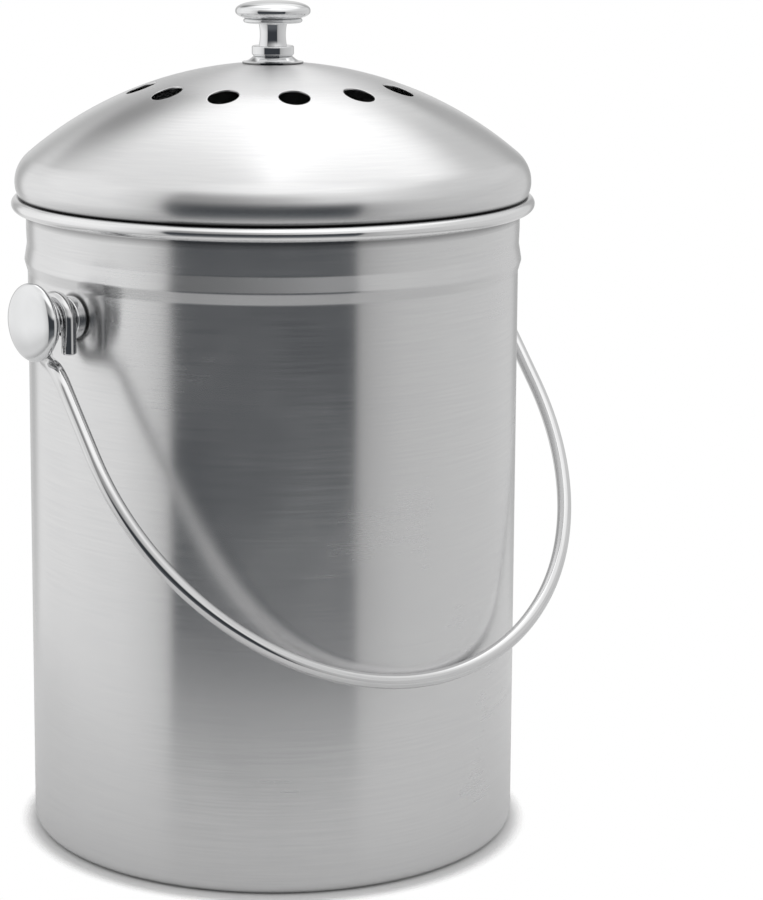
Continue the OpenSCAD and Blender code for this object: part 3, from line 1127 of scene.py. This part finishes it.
@dataclass
class WirePath:
    """A wire bent at corners: straight runs, and a circular bend of its own radius at each corner.

    Args:
        corners: a point and a bend radius for each corner; the ends have radius 0.
        shortest_run: length under which a straight run is left out.
    """

    corners: list[tuple[np.ndarray, float]]
    shortest_run: float = 0.05

    def stations(self, spacing: float = 1.0) -> tuple[np.ndarray, np.ndarray, np.ndarray, np.ndarray]:
        """Points along the wire and the frame that is carried with them without twist.

        On a bend, point and frame turn together about the bend's axis by Rodrigues' formula:
        v cos a + (k x v) sin a + k (k . v)(1 - cos a).

        Args:
            spacing: the longest chord on a bend in millimetres; a straight run's are four times as long.

        Returns:
            Arrays of points, tangents and the two directions across the wire.
        """
        points = [p for p, _ in self.corners]
        heads = [(b - a) / np.linalg.norm(b - a) for a, b in zip(points, points[1:])]
        across = np.cross(heads[0], [1.0, 0.0, 0.0])
        basis = np.stack([heads[0], across / np.linalg.norm(across), np.zeros(3)])
        basis[2] = np.cross(basis[0], basis[1])
        place, runs, frames = points[0], [points[0][None]], [basis[None]]
        for i in range(1, len(points)):
            into = heads[i - 1]
            turn, reach, axis = 0.0, 0.0, None
            if i < len(points) - 1:
                turn = math.acos(float(np.clip(into @ heads[i], -1, 1)))
                reach = self.corners[i][1] * math.tan(turn / 2)
                axis = np.cross(into, heads[i])
                axis = axis / np.linalg.norm(axis)
            run = np.linalg.norm(points[i] - place) - reach
            steps = max(2, math.ceil(run / (4 * spacing))) if run > self.shortest_run else 0
            if steps:
                ahead = np.linspace(0, run, steps + 1)[1:, None]
                runs.append(place + into * ahead)
                frames.append(np.repeat(basis[None], steps, 0))
                place = place + into * run
            if axis is None:
                break
            radius = self.corners[i][1]
            middle = place + radius * np.cross(axis, into)
            count = max(10, math.ceil(radius * turn / spacing))
            a = np.linspace(0, turn, count + 1)[1:, None, None]
            moved = np.concatenate([basis, (place - middle)[None]])[None]
            turned = moved * np.cos(a) + np.cross(axis, moved) * np.sin(a)
            turned = turned + axis * (moved @ axis)[..., None] * (1 - np.cos(a))
            runs.append(middle + turned[:, 3])
            frames.append(turned[:, :3])
            place, basis = runs[-1][-1], turned[-1, :3]
        carried = np.concatenate(frames)
        return np.concatenate(runs), carried[:, 0], carried[:, 1], carried[:, 2]


@dataclass
class Bail:
    """The carrying bail: one steel wire, hooked over both studs and bowed round the front of the bin.

    Args:
        hook_x: distance of the hook's plane from the middle; leg_x is the same of the bow's legs.
        hook_tail: how far the hook's free end hangs below the pivot; hook_drop is the same of its other end.
        leg_start: distance down the bow where the leg begins.
        reach: distance from the pivot to the bow's lowest line.
        bow_flatten: how much larger the bow's middle bend is than its shoulders, which end at bow_turn.
        clear_r: distance at which the resting bow clears the axis.
        end_bite: length of the chamfer at the wire's ends.
    """

    wire_r: float = 2.5
    pivot_z: float = 190.4
    hook_x: float = 93.6
    hook_r: float = 7.09
    hook_tail: float = 10.7
    hook_drop: float = 14.2
    hook_bend_r: float = 6.0
    leg_x: float = 101.0
    leg_start: float = 18.0
    leg_bend_r: float = 14.0
    reach: float = 149.0
    bow_flatten: float = 6.6
    bow_turn: float = 32.0
    clear_r: float = 88.8
    end_bite: float = 0.45
    sides: int = 36

    @property
    def rest_angle(self) -> float:
        """How far the bow leans from straight down where it rests on the wall, in radians."""
        return math.asin(self.clear_r / self.reach)

    def spot(self, side: Side, x: float, forward: float, up: float) -> np.ndarray:
        """A point given from the pivot, on one side."""
        return np.array([side.value * x, -forward, self.pivot_z + up])

    def in_bow(self, side: Side, x: float, down: float) -> np.ndarray:
        """A point of the leaning bow, a distance down it."""
        return self.spot(side, x, down * math.sin(self.rest_angle), -down * math.cos(self.rest_angle))

    def half(self, side: Side) -> list[tuple[np.ndarray, float]]:
        """The corners of one side: the hook over the stud, the kink outwards, the leg and the shoulder.

        Args:
            side: which side.

        Returns:
            Points and bend radii.
        """
        turn = math.radians(self.bow_turn)
        shoulder_r = self.leg_x - self.bow_flatten * math.sin(turn)
        bow_r = shoulder_r + self.bow_flatten
        leg_l = self.reach - bow_r + self.bow_flatten * math.cos(turn)
        corner = leg_l + shoulder_r * math.tan((math.pi / 2 - turn) / 2)
        r = self.hook_r
        return [
            (self.spot(side, self.hook_x, r, -self.hook_tail), 0.0),
            (self.spot(side, self.hook_x, r, r), r),
            (self.spot(side, self.hook_x, -r, r), r),
            (self.spot(side, self.hook_x, -r, -self.hook_drop), self.hook_bend_r),
            (self.in_bow(side, self.leg_x, self.leg_start), self.leg_bend_r),
            (self.in_bow(side, self.leg_x, corner), shoulder_r),
        ]

    def path(self) -> WirePath:
        """The whole wire, from the left tail to the right one, through the flattened middle of the bow.

        Returns:
            The path.
        """
        turn = math.radians(self.bow_turn)
        bow_r = self.leg_x - self.bow_flatten * math.sin(turn) + self.bow_flatten
        middle = (self.in_bow(Side.RIGHT, 0.0, self.reach - bow_r + bow_r / math.cos(turn)), bow_r)
        return WirePath([*self.half(Side.LEFT), middle, *self.half(Side.RIGHT)[::-1]])

    def skin(self) -> Patch:
        """The wire's skin: centre + radius (n cos a + b sin a), the radius 0 beyond each end's chamfer.

        Returns:
            The patch.
        """
        centre, ahead, n, b = self.path().stations()
        bite = self.end_bite
        starts = np.stack([centre[0], centre[0], centre[0] + ahead[0] * bite])
        ends = np.stack([centre[-1] - ahead[-1] * bite, centre[-1], centre[-1]])
        centre = np.concatenate([starts, centre[1:-1], ends])
        n = np.concatenate([n[:1].repeat(3, 0), n[1:-1], n[-1:].repeat(3, 0)])
        b = np.concatenate([b[:1].repeat(3, 0), b[1:-1], b[-1:].repeat(3, 0)])
        radius = np.full(len(centre), self.wire_r)
        radius[[0, -1]], radius[[1, -2]] = 0.0, self.wire_r - bite
        u = np.linspace(0, 1, self.sides + 1)
        a = 2 * np.pi * u[None, :, None]
        points = centre[:, None] + radius[:, None, None] * (n[:, None] * np.cos(a) + b[:, None] * np.sin(a))
        places = np.stack(np.broadcast_arrays(u[None], lengths(centre)[:, None]), 2)
        return Patch(points, places)

    def build(self, finish: Finishes) -> None:
        """Builds and dresses the wire."""
        mesh = mesh_of("Bail_Wire", [self.skin()])
        piece(mesh, Body.BAIL, Slot.POLISHED_WIRE, finish.wire, "bail_wire")


# ---- the lid


@dataclass
class Lid:
    """The lift-off lid: vented dome, filter pan below it, charcoal felt between, and a knob on top.

    Args:
        crown_r: radius of the crown, whose middle is at height crown_z.
        skirt_in: how far the skirt is drawn in over its height.
        vent_turn: direction of the first vent in degrees.
        cell: half the width of the sector that a vent's hole is cut from.
        lip: how far the vents' eased lips spread at the face and at the first step below it.
        lip_past: how far the vents' walls reach, in sheet thicknesses.
        plug_r: radius of the pan's wall inside the bin.
        felt_edge: radius of the felt's rolled edges.
        felt_slack: how far the felt's faces sink in, over a distance felt_fade from its edge.
        waves: height, two wave numbers and phase of each wave in the felt's faces.
        rosette_edge: thickness of the rosette's outer edge.
        rosette_tuck: how far the rosette's flare reaches in under the collar.
    """

    seat_z: float = 225.05
    sheet: float = 0.7
    crown_r: float = 132.6
    crown_z: float = 138.4247
    dome_r: float = 90.2
    shoulder_r: float = 12.4
    skirt_h: float = 5.0
    skirt_in: float = 1.4
    vent_count: int = 12
    vent_r: float = 5.3
    vent_ring_r: float = 46.0
    vent_turn: float = 29.0
    cell: float = 12.0
    lip: Pair = (0.14, 0.04)
    lip_past: float = 1.06
    bore_r: float = 1.98
    plug_r: float = 84.5
    pan_z: float = 204.05
    pan_flange_r: float = 88.05
    pan_bend_r: float = 1.5
    pan_corner_r: float = 3.0
    pan_opening_r: float = 58.0
    pan_lip_r: float = 1.5
    pan_lip_h: float = 2.4
    filter_r: float = 80.0
    filter_z: float = 206.45
    filter_t: float = 8.0
    felt_edge: float = 2.4
    felt_slack: float = 0.24
    felt_fade: float = 12.0
    waves: tuple[tuple[float, ...], ...] = (
        (0.10, 0.11, 0.07, 0.0),
        (0.08, 0.05, -0.13, 1.0),
        (0.05, 0.23, 0.19, 2.0),
    )
    rosette_r: float = 10.65
    rosette_h: float = 2.1
    rosette_edge: float = 0.25
    rosette_tuck: float = 0.5
    knob: Mushroom = field(
        default_factory=lambda: Mushroom(foot_r=4.9, neck_l=7.9, neck_end=0.5, collar_h=3.7)
    )

    @property
    def apex_z(self) -> float:
        """Height of the top of the dome."""
        return self.crown_z + self.crown_r

    def crown(self, radius: np.ndarray, inset: float) -> np.ndarray:
        """Height of the dome's crown over a distance from the axis: middle + sqrt((R - inset)^2 - r^2)."""
        return self.crown_z + np.sqrt((self.crown_r - inset) ** 2 - np.square(radius))

    def skin(
        self, radius: np.ndarray, angle: np.ndarray, inset: float, drop: np.ndarray | float = 0.0
    ) -> Patch:
        """A patch of the crown, from polar coordinates seen from above.

        Args:
            radius: distance of each point from the axis.
            angle: its angle in radians.
            inset: 0 for the outer face, the sheet's thickness for the inner one.
            drop: how far each point lies below that face.

        Returns:
            The patch, placed as the dome's profile is.
        """
        height = self.crown(radius, inset) - drop
        points = np.stack([radius * np.cos(angle), radius * np.sin(angle), height], 2)
        along = self.crown_r * np.arcsin(radius / self.crown_r) * MM
        return Patch(points, np.stack([angle / (2 * np.pi), along], 2))

    def ring(self, start: float, end: float, rows: int, inset: float) -> Patch:
        """A plain ring of the crown between two distances from the axis."""
        radius, angle = np.meshgrid(np.linspace(start, end, rows + 1), self.around, indexing="ij")
        return self.skin(radius, angle, inset)

    @property
    def cell_start(self) -> float:
        """The angle where the first vent's cell starts, in radians."""
        return math.radians(self.vent_turn - 180 / self.vent_count)

    @property
    def around(self) -> np.ndarray:
        """The angles of the dome's columns, which start where the first cell does."""
        return np.linspace(0, 2 * np.pi, TURNS + 1) + self.cell_start

    def vent_cell(self, index: int) -> list[Patch]:
        """The two faces of one vent's cell and the punched hole between them.

        A cell is a sector of the crown. Its points are (1 - w) hole + w border for w from 0 to 1,
        with each hole point in the direction of its border point. The hole's lip is eased.

        Args:
            index: number of the vent.

        Returns:
            The patches.
        """
        per_side = TURNS // self.vent_count
        middle = math.radians(self.vent_turn + 360 / self.vent_count * index)
        half = math.pi / self.vent_count
        inner, outer = self.vent_ring_r - self.cell, self.vent_ring_r + self.cell
        s, ones = np.linspace(-1, 1, per_side + 1)[:-1], np.ones(per_side)
        out, back = self.vent_ring_r + self.cell * s, self.vent_ring_r - self.cell * s
        radius = np.concatenate([inner * ones, out, outer * ones, back])
        angle = middle + half * np.concatenate([s, ones, -s, -ones])
        radius, angle = np.append(radius, radius[0]), np.append(angle, angle[0])
        border = np.stack([radius * np.cos(angle), radius * np.sin(angle)], 1)
        hub = self.vent_ring_r * np.array([math.cos(middle), math.sin(middle)])
        away = border - hub
        away /= np.linalg.norm(away, axis=1)[:, None]
        wide, slight = self.lip
        w = np.array([0, 0.03, 0.08, 0.16, 0.28, 0.45, 0.7, 1.0])[:, None, None]
        flat = (1 - w) * (hub + (self.vent_r + wide) * away) + w * border
        patches = [self.polar(flat, inset, 0.0, middle) for inset in (0.0, self.sheet)]
        radii = self.vent_r + np.array([wide, slight, 0.0, 0.0, slight, wide])
        past = self.sheet * self.lip_past
        drops = np.array([0, slight, wide, past - wide, past - slight, 0.0])
        walls = hub + radii[:, None, None] * away
        wall = self.polar(walls, 0.0, drops[:, None], middle)
        wall.points[-1] = patches[1].points[0]
        patches.append(wall)
        return patches

    def polar(self, flat: np.ndarray, inset: float, drop: np.ndarray | float, middle: float) -> Patch:
        """A patch of the crown from points seen from above, with angles near a middle one.

        Args:
            flat: the points' x and y.
            inset: 0 for the outer face, the sheet's thickness for the inner one.
            drop: how far each point lies below that face.
            middle: the middle angle in radians.

        Returns:
            The patch.
        """
        radius = np.hypot(flat[..., 0], flat[..., 1])
        angle = np.arctan2(flat[..., 1], flat[..., 0])
        angle = middle + (angle - middle + np.pi) % (2 * np.pi) - np.pi
        return self.skin(radius, angle, inset, drop)

    def rim(self) -> Patch:
        """The dome outside the vents: crown, shoulder, drawn-in skirt, and back along the inner face.

        Returns:
            The patch.
        """
        shoulder_x, shoulder_z = self.dome_r - self.shoulder_r, self.seat_z + self.skirt_h
        bend = (self.skirt_h**2 + self.skirt_in**2) / (2 * self.skirt_in)
        turn = math.degrees(math.asin(self.skirt_h / bend))
        end = math.degrees(math.atan2(shoulder_z - self.crown_z, shoulder_x))
        start_r = self.vent_ring_r + self.cell

        def face(inset: float) -> np.ndarray:
            """One face of the sheet, from the vents outwards.

            Args:
                inset: 0 for the outer face, the sheet's thickness for the inner one.

            Returns:
                Profile points.
            """
            start = math.degrees(math.acos(start_r / (self.crown_r - inset)))
            return line(
                [[start_r, float(self.crown(np.array(start_r), inset))]],
                arc((0, self.crown_z), self.crown_r - inset, start, end, 12)[1:],
                arc((shoulder_x, shoulder_z), self.shoulder_r - inset, end, 0, 24),
                arc((self.dome_r - bend, shoulder_z), bend - inset, 0, -turn, 8),
            )

        patch = lathe(both_faces(face, self.sheet))
        radius = np.hypot(patch.points[..., 0], patch.points[..., 1])
        patch.points[..., 0] = radius * np.cos(self.around)
        patch.points[..., 1] = radius * np.sin(self.around)
        patch.places[..., 0] += self.cell_start / (2 * np.pi)
        patch.places[..., 1] += self.crown_r * math.asin(start_r / self.crown_r) * MM
        return patch

    def dome(self) -> bpy.types.Mesh:
        """The whole dome, welded from its rings and cells.

        Returns:
            The mesh.
        """
        inner = self.vent_ring_r - self.cell
        patches = [self.rim()]
        patches += [self.ring(self.bore_r, inner, 16, inset) for inset in (0.0, self.sheet)]
        bore = self.ring(self.bore_r, self.bore_r, 1, 0.0)
        bore.points[1, :, 2] = self.crown(np.array(self.bore_r), self.sheet)
        patches.append(bore)
        for index in range(self.vent_count):
            patches += self.vent_cell(index)
        return mesh_of("Lid_Dome", patches, SHEET_CREASE)

    def pan(self) -> bpy.types.Mesh:
        """The filter pan: a flange on the rim, the plug in the bin, and a ring floor with an upturned lip.

        Returns:
            The mesh.
        """
        bend, corner, lip = self.pan_bend_r, self.pan_corner_r, self.pan_lip_r

        def face(inset: float) -> np.ndarray:
            """One face of the sheet, from the flange to the lip.

            Args:
                inset: 0 for the outer face, the sheet's thickness for the inner one.

            Returns:
                Profile points.
            """
            return line(
                [[self.pan_flange_r, self.seat_z + inset]],
                arc((self.plug_r + bend, self.seat_z - bend), bend + inset, 90, 180, 12),
                arc((self.plug_r - corner, self.pan_z + corner), corner - inset, 0, -90, 14),
                arc((self.pan_opening_r + lip, self.pan_z + lip), lip - inset, -90, -180, 10),
                [[self.pan_opening_r + inset, self.pan_z + self.pan_lip_h]],
            )

        return mesh_of("Filter_Pan", [lathe(both_faces(face, self.sheet), closed=True)], SHEET_CREASE)

    def felt(self) -> bpy.types.Mesh:
        """The felt disc: a flat pad with rolled edges whose faces wander by a fraction of a millimetre.

        The wander is the sum of three plane waves, a sin(k . p + phase), and it dies away at the edge.

        Returns:
            The mesh.
        """
        r, edge = self.filter_r, self.felt_edge
        low, high = self.filter_z, self.filter_z + self.filter_t
        across = np.linspace(0, r - edge - 1, 40)
        profile = line(
            [[x, low] for x in across],
            arc((r - edge, low + edge), edge, -90, 0, 8),
            arc((r - edge, high - edge), edge, 0, 90, 8),
            [[x, high] for x in across[::-1]],
        )
        patch = lathe(profile)
        x, y, z = np.moveaxis(patch.points, 2, 0)
        wave = sum(a * np.sin(kx * x + ky * y + phase) for a, kx, ky, phase in self.waves)
        inside = np.clip((r - np.hypot(x, y)) / self.felt_fade, 0, 1)
        up = np.sign(z - low - self.filter_t / 2)
        patch.points[..., 2] = z - up * (self.felt_slack + wave) * inside
        return mesh_of("Charcoal_Filter", [patch], crease=60)

    def rosette(self) -> np.ndarray:
        """The rosette's profile: a foot on the crown and a flare z = edge + (h - edge) u^2 to the collar.

        Returns:
            Profile points, closed round the bore.
        """
        u = np.linspace(0, 1, 25)
        top_r = self.knob.collar_r - self.rosette_tuck
        edge = self.rosette_edge
        out = self.rosette_r + (top_r - self.rosette_r) * u
        flare = np.stack([out, edge + (self.rosette_h - edge) * u**2], 1)
        foot_r = np.linspace(self.rosette_r, self.bore_r, 10)
        foot = np.stack([foot_r, self.crown(foot_r, 0.0) - self.apex_z], 1)
        return line([[self.bore_r, self.rosette_h]], flare[::-1], foot)

    def build(self, finish: Finishes) -> None:
        """Builds and dresses the lid's pieces, from the dome down and then the knob up.

        Args:
            finish: the finishes.
        """
        piece(self.dome(), Body.LID, Slot.SATIN_LID, finish.dome, "lid_dome")
        piece(self.pan(), Body.LID, Slot.SATIN_LID, finish.pan, "filter_pan")
        pad = piece(self.felt(), Body.LID, Slot.CHARCOAL_FELT, finish.felt, "charcoal_filter")
        k = self.knob
        collar_z = self.apex_z + self.rosette_h
        stem_z = collar_z + k.collar_h
        parts = (
            ("Knob_Rosette", lathe(self.rosette(), KNOB_TURNS, closed=True), self.apex_z, finish.rosette),
            ("Knob_Collar", lathe(k.collar(), SMALL_TURNS, closed=True), collar_z, finish.chrome),
            ("Knob_Stem", lathe(k.post(), SMALL_TURNS), stem_z, finish.chrome),
            ("Knob_Cap", lathe(k.cap(), KNOB_TURNS), stem_z + k.neck_l + k.flange_t, finish.chrome),
        )
        for name, patch, height, plating in parts:
            mesh = mesh_of(name, [patch], place=lifted(height))
            piece(mesh, Body.LID, Slot.CHROME_KNOBS, plating, name.lower())


@dataclass
class Fixings:
    """The screws and washers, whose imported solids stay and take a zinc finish."""

    nodes: tuple[str, ...] = (
        "left_stud_washer",
        "left_stud_screw",
        "right_stud_washer",
        "right_stud_screw",
        "knob_washer",
        "knob_screw",
    )

    def build(self, finish: Finishes) -> None:
        """Gives each fixing its finish.

        Args:
            finish: the finishes.
        """
        for name in self.nodes:
            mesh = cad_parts[name].data
            mesh.materials.clear()
            mesh.materials.append(finish.zinc)
            LOG.info("%s: zinc plated", name)


# ---- the studio


@dataclass(frozen=True)
class Layer:
    """The light from one layer of elevations, as it changes round the piece.

    Args:
        start: elevation in degrees at which it begins to replace the layers before it.
        end: elevation at which it has replaced them.
        stops: angle in degrees, 0 at the camera, and grey or colour there.
    """

    start: float
    end: float
    stops: Stops


def stops(*row: Shade) -> Stops:
    """Pairs up a row of angles and shades."""
    return tuple(zip(row[::2], row[1::2]))


def round_light(tree: Tree, around: Socket, row: Stops) -> Socket:
    """Adds the ramp that reads the angle round the piece."""
    return tree.ramp(around, *(((angle + 180) / 360, shade) for angle, shade in row))


# Each row below holds angles round the piece, 0 at the camera, and after each its grey or colour.
DOORWAY = (0.045, 0.05, 0.057)
LOW_DOORWAY = (0.112, 0.12, 0.13)
FRONT = stops(
    -134, 0.9, -120, 1.02, -80, 1.0, -52, 0.75, -47, 0.32, -20, 0.4, 5, 0.6, 25, 0.85, 45, 0.9,
    60, 0.86, 90, 0.76, 137, 0.78,
)
LEVEL = stops(
    -180, 0.74, -171, 0.72, -163, 0.64, -156, 0.48, -150, 0.52, -143, 0.92, -105, 1.0, -75, 0.93, -60, 0.8,
    -53, 0.68, -48.4, 0.56, -47, DOORWAY, 38, DOORWAY, 39.5, 0.4, 48, 0.5, 64, 0.6, 90, 0.67, 135, 0.72,
    150, 0.68, 157, 0.46, 165, 0.44, 172, 0.7, 180, 0.74,
)
LOW = stops(
    -180, 0.75, -150, 0.78, -75, 0.74, -56, 0.62, -48.4, 0.5, -47, LOW_DOORWAY, 38, LOW_DOORWAY, 39.5, 0.4,
    60, 0.6, 135, 0.66, 180, 0.75,
)
GROUND = stops(-180, 0.42, 180, 0.42)
MIDDLE = (
    *stops(-180, 0.75, -172, 0.64, -166, 0.5, -158, 0.54, -154, 0.68, -150, 0.86),
    *FRONT,
    *stops(148, 0.74, 153, 0.64, 159, 0.47, 167, 0.44, 172, 0.56, 180, 0.75),
)
UPPER = (
    *stops(-180, 1.0, -174, 0.9, -169, 0.55, -164, 0.27, -155, 0.26, -150, 0.4, -145, 0.66, -140, 0.9),
    *FRONT,
    *stops(145, 0.68, 152, 0.66, 158, 0.78, 165, 0.95, 172, 1.05, 180, 1.0),
)
HIGH = stops(
    -180, 1.5, -165, 1.45, -150, 1.25, -140, 1.0, -125, 0.95, -95, 0.9, -50, 1.05, 0, 1.3, 50, 1.25,
    100, 1.05, 125, 1.25, 150, 1.5, 180, 1.5,
)


@dataclass
class Studio:
    """White floor, soft studio light from all round with a dark doorway in front, and the camera.

    Args:
        floor_r: radius in metres of the floor, which fades out from floor_hold on.
        white_from: distance in metres from the shadow's middle where the camera starts to see white.
        white_at: distance where it sees nothing else.
        shadow_fall: how far the shadow's middle lies off the axis.
        facing: turn in degrees that brings the camera's side to the middle of the ramps.
        layers: the light above and below the level layer.
    """

    floor_r: float = 0.33
    floor_hold: float = 0.25
    white_from: float = 0.0852
    white_at: float = 0.0918
    shadow_fall: Triple = (0.0019, 0.0023, 0.0)
    floor_colour: tuple[float, float, float, float] = (0.73, 0.73, 0.73, 1.0)
    facing: float = 129.987
    layers: tuple[Layer, ...] = (
        Layer(-9.0, -22.0, LOW),
        Layer(-26.0, -42.0, GROUND),
        Layer(7.0, 19.0, MIDDLE),
        Layer(22.0, 30.0, UPPER),
        Layer(35.0, 53.0, HIGH),
    )
    camera_place: Triple = (-0.604965, -0.721311, 0.34122)
    camera_pitch: float = 9.2974
    camera_turn: float = -39.98664
    focal_px: float = 2702.2
    centre_px: Pair = (272.85, 300.0)
    picture: tuple[int, int] = (763, 900)
    sensor_mm: float = 36.0

    def backdrop(self, tree: Tree) -> Socket:
        """A mask of the rays that see plain white: the camera's own and those let through."""
        path = tree.add("ShaderNodeLightPath").outputs
        return tree.math("MAXIMUM", path["Is Camera Ray"], path["Is Transmission Ray"])

    def floor(self) -> None:
        """A pale disc that keeps the shadow and fades, a little way out, into the white round it."""
        radius = np.concatenate([[0.0], np.geomspace(0.03, self.floor_r, 24)]) / MM
        mesh = mesh_of("Studio_Floor", [lathe(np.stack([radius, np.zeros_like(radius)], 1), SMALL_TURNS)])
        thing = bpy.data.objects.new("Studio_Floor", mesh)
        bpy.context.scene.collection.objects.link(thing)
        thing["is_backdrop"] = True
        material = bpy.data.materials.new("White_Floor")
        material.use_nodes = True
        material.node_tree.nodes.clear()
        tree = Tree(material.node_tree)
        spot = tree.position()
        past = tree.vector("LENGTH", tree.vector("ADD", spot, self.shadow_fall))
        whiter = tree.spread(past, self.white_from, self.white_at, 0.0, 1.0, smooth=True)
        whiter = tree.math("MULTIPLY", self.backdrop(tree), whiter)
        away = tree.vector("LENGTH", spot)
        ending = tree.spread(away, self.floor_hold, self.floor_r, 0.0, 1.0, smooth=True)
        white = tree.math("MAXIMUM", whiter, ending)
        diffuse = tree.add("ShaderNodeBsdfDiffuse", {"Color": self.floor_colour})
        clear = tree.add("ShaderNodeBsdfTransparent")
        mix = tree.add("ShaderNodeMixShader", {0: white, 1: diffuse.outputs[0], 2: clear.outputs[0]})
        tree.add("ShaderNodeOutputMaterial", {"Surface": mix.outputs[0]})
        mesh.materials.append(material)

    def world(self) -> None:
        """White for the camera, and for all other rays a studio whose brightness depends on the direction.

        The direction is turned so that the camera stands at the middle of the ramps, and is read as an
        angle round the piece and an elevation. A level layer, a pale ground and four more layers are
        blended by elevation: a dark doorway in front, dimmer flags either side of the backdrop, and soft
        boxes above.
        """
        world = bpy.context.scene.world or bpy.data.worlds.new("Studio")
        bpy.context.scene.world = world
        world.use_nodes = True
        world.node_tree.nodes.clear()
        tree = Tree(world.node_tree)
        direction = tree.add("ShaderNodeTexCoord").outputs["Generated"]
        settings = {"Vector": direction, "Axis": (0, 0, 1), "Angle": math.radians(self.facing)}
        faced = tree.add("ShaderNodeVectorRotate", settings, rotation_type="AXIS_ANGLE")
        part = tree.add("ShaderNodeSeparateXYZ", {0: faced.outputs[0]}).outputs
        around = tree.spread(tree.math("ARCTAN2", part["Y"], part["X"]), -math.pi, math.pi, 0.0, 1.0)
        height = tree.math("MULTIPLY", tree.math("ARCSINE", part["Z"]), 180 / math.pi)
        light = round_light(tree, around, LEVEL)
        for layer in self.layers:
            share = tree.spread(height, layer.start, layer.end, 0.0, 1.0, smooth=True)
            light = tree.mix(share, light, round_light(tree, around, layer.stops))
        final = tree.mix(self.backdrop(tree), light, WHITE)
        background = tree.add("ShaderNodeBackground", {"Color": final, "Strength": 1.0})
        tree.add("ShaderNodeOutputWorld", {"Surface": background.outputs[0]})

    def camera(self) -> None:
        """The camera, whose lens and shift come from the picture's own pixels."""
        data = bpy.data.cameras.new("Camera")
        longest = max(self.picture)
        data.sensor_fit = "AUTO"
        data.sensor_width = self.sensor_mm
        data.lens = self.focal_px / longest * self.sensor_mm
        data.shift_x = (self.picture[0] / 2 - self.centre_px[0]) / longest
        data.shift_y = (self.centre_px[1] - self.picture[1] / 2) / longest
        data.clip_start, data.clip_end = 0.05, 20.0
        thing = bpy.data.objects.new("Camera", data)
        thing.location = self.camera_place
        pitch, turn = math.radians(90 - self.camera_pitch), math.radians(self.camera_turn)
        thing.rotation_euler = Euler((pitch, 0.0, turn))
        bpy.context.scene.collection.objects.link(thing)
        bpy.context.scene.camera = thing

    def build(self) -> None:
        """Builds floor, light and camera."""
        self.floor()
        self.world()
        self.camera()
        bpy.context.scene.view_settings.view_transform = "Standard"
        LOG.info("studio: floor, world and camera")


def corners(box: tuple) -> list[list[float]]:
    """A box's two corners as plain lists of numbers."""
    return [[float(v) for v in corner] for corner in box]


def main() -> None:
    """Builds the caddy from the bin upwards, then the studio, and works out the bounds before and after."""
    logging.basicConfig(level=logging.INFO, format="%(name)s: %(message)s")
    solid_box = corners(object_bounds())
    finishes = Finishes.build()
    for assembly in (Bin(), Studs(), Bail(), Lid(), Fixings()):
        assembly.build(finishes)
    Studio().build()
    {"solids": solid_box, "visual": corners(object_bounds())}


if __name__ == "__main__":
    main()
